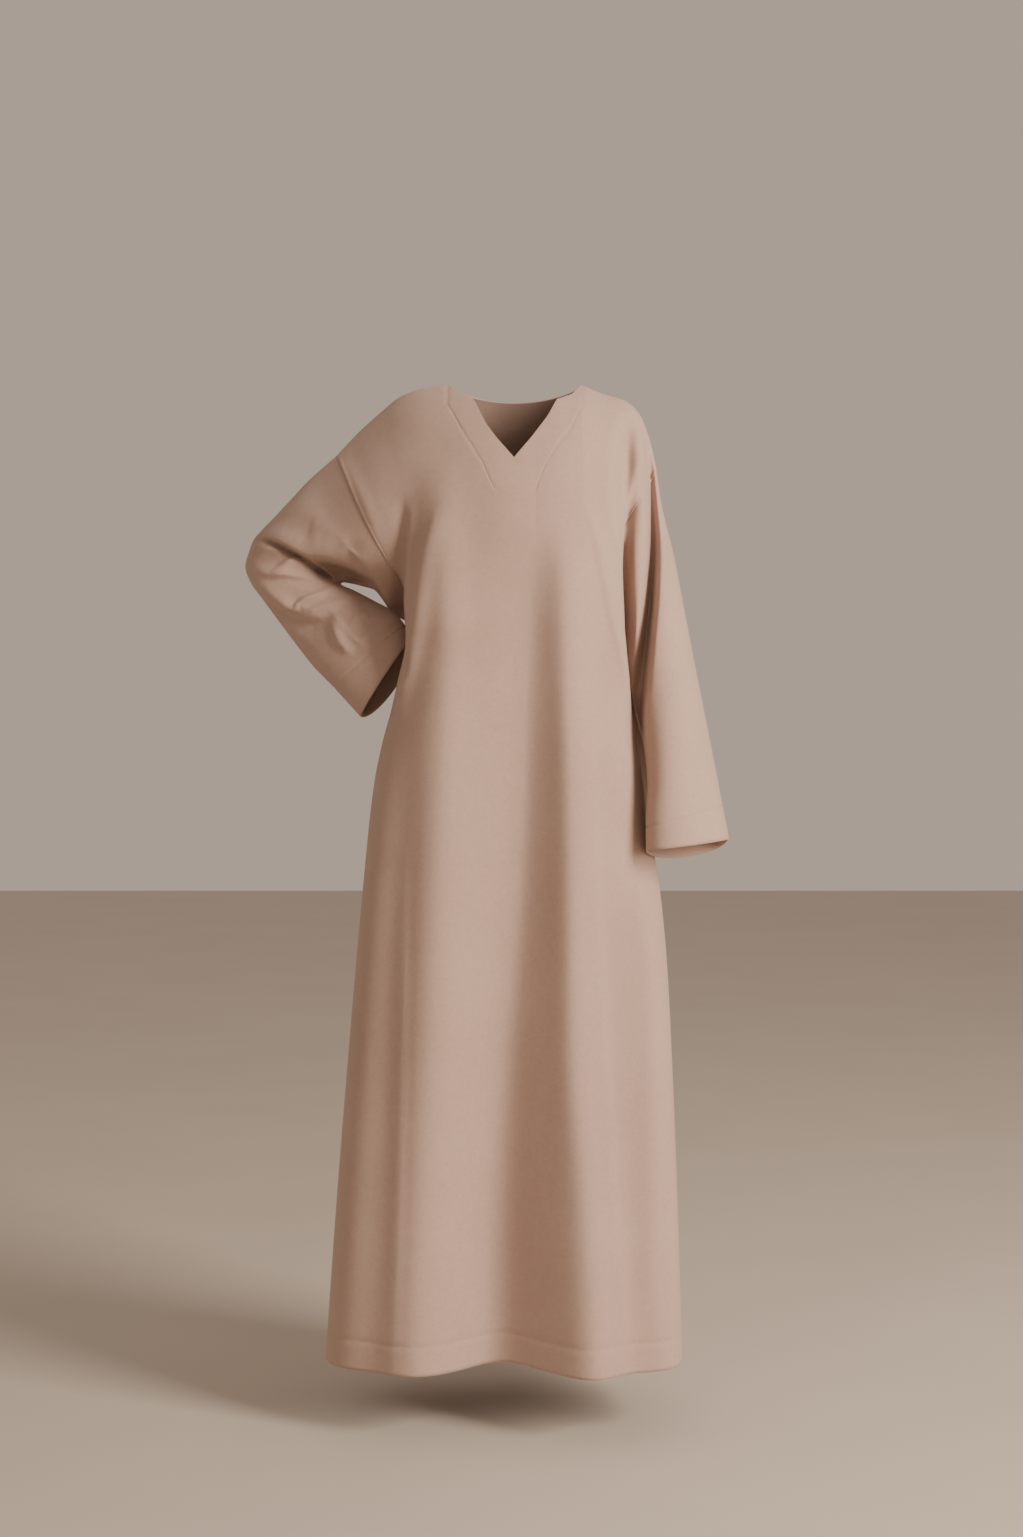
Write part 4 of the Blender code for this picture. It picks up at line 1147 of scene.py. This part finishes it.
def stitch_tree():
    """Geometry Nodes that lay one stitch at each even step along a line of edges."""
    tree = bpy.data.node_groups.new("stitches", "GeometryNodeTree")
    tree.interface.new_socket("Line", in_out="INPUT", socket_type="NodeSocketGeometry")
    for name in ("Spacing", "Length", "Thickness"):
        tree.interface.new_socket(name, in_out="INPUT", socket_type="NodeSocketFloat")
    tree.interface.new_socket("Thread", in_out="INPUT", socket_type="NodeSocketMaterial")
    tree.interface.new_socket("Stitches", in_out="OUTPUT", socket_type="NodeSocketGeometry")

    def node(kind, **inputs):
        made = tree.nodes.new(kind)
        for socket, value in inputs.items():
            target = made.inputs[socket.replace("_", " ")]
            if isinstance(value, bpy.types.NodeSocket):
                tree.links.new(value, target)
            else:
                target.default_value = value
        return made

    given = tree.nodes.new("NodeGroupInput").outputs
    curve = node("GeometryNodeMeshToCurve", Mesh=given["Line"])
    steps = node("GeometryNodeResampleCurve", Curve=curve.outputs[0])
    steps.mode = "LENGTH"
    tree.links.new(given["Spacing"], steps.inputs["Length"])
    one = node("GeometryNodeMeshUVSphere", Segments=6, Rings=5, Radius=0.5)
    along = node("FunctionNodeAlignRotationToVector", Vector=node("GeometryNodeInputTangent").outputs[0])
    along.axis = "Z"
    uneven = node("FunctionNodeRandomValue", Seed=7)
    uneven.inputs[2].default_value, uneven.inputs[3].default_value = 0.88, 1.06
    length = tree.nodes.new("ShaderNodeMath")
    length.operation = "MULTIPLY"
    tree.links.new(given["Length"], length.inputs[0])
    tree.links.new(uneven.outputs[1], length.inputs[1])
    size = node("ShaderNodeCombineXYZ", X=given["Thickness"], Y=given["Thickness"], Z=length.outputs[0])
    laid = node(
        "GeometryNodeInstanceOnPoints",
        Points=steps.outputs[0],
        Instance=one.outputs["Mesh"],
        Rotation=along.outputs[0],
        Scale=size.outputs[0],
    )
    whole = node("GeometryNodeRealizeInstances", Geometry=laid.outputs[0])
    smooth_faces = node("GeometryNodeSetShadeSmooth", Geometry=whole.outputs[0])
    made = node("GeometryNodeSetMaterial", Geometry=smooth_faces.outputs[0], Material=given["Thread"])
    tree.links.new(made.outputs[0], tree.nodes.new("NodeGroupOutput").inputs["Stitches"])
    return tree


def stitched(name, lines, tree, material):
    """One plain mesh of stitches along each of the lines of points. A closed line repeats its first point."""
    points = np.concatenate(lines)
    starts = np.cumsum([0] + [len(line) for line in lines[:-1]])
    edges = [(s + i, s + i + 1) for s, line in zip(starts, lines) for i in range(len(line) - 1)]
    path = bpy.data.meshes.new(name + "_path")
    path.from_pydata(points.tolist(), edges, [])
    obj = bpy.data.objects.new(name, path)
    scene.collection.objects.link(obj)
    modifier = obj.modifiers.new("stitches", "NODES")
    modifier.node_group = tree
    inputs = {item.name: item.identifier for item in tree.interface.items_tree if item.in_out == "INPUT"}
    given = {"Spacing": STITCH_SPACING, "Length": STITCH_LENGTH, "Thickness": THREAD, "Thread": material}
    for label, value in given.items():
        modifier[inputs[label]] = value
    bpy.context.view_layer.update()
    done = obj.evaluated_get(bpy.context.evaluated_depsgraph_get())
    mesh = bpy.data.meshes.new_from_object(done)
    obj.modifiers.clear()
    obj.data = mesh
    return obj


def row_above(grid, normals, row):
    """A row of points lifted off the cloth for its stitches to lie on."""
    return grid[row] + normals[row] * THREAD * STANDS_OFF


def cuff_line(rings):
    line = row_above(rings, tube_normals(rings), SLEEVE_ROWS)
    return np.concatenate([line, line[:1]])


neck_columns = np.nonzero(inside_neck)[0]
facing_rows = slice(len(front) - YOKE_ROWS - 1 + FACING_ROW, -2)
lifted = front + front_in * -THREAD * STANDS_OFF
outline = [lifted[facing_rows, neck_columns[0]][::-1], lifted[facing_rows.start, inside_neck][1:-1]]
outline = np.concatenate(outline + [lifted[facing_rows, neck_columns[-1]]])
hem_lines = [row_above(front, -front_in, TURN_ROWS)[1:-1], row_above(back, -back_in, TURN_ROWS)[1:-1]]
stitches = stitch_tree()
sewing = thread("thread")
for name, lines, slot in (
    ("hem_stitches", hem_lines, "front_cloth"),
    ("sleeve_right_stitches", [cuff_line(right_rings)], "sleeve_right_cloth"),
    ("sleeve_left_stitches", [cuff_line(left_rings)], "sleeve_left_cloth"),
    ("neck_stitches", [outline], "neck_facing_cloth"),
):
    piece = stitched(name, lines, stitches, sewing)
    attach(piece, "root")
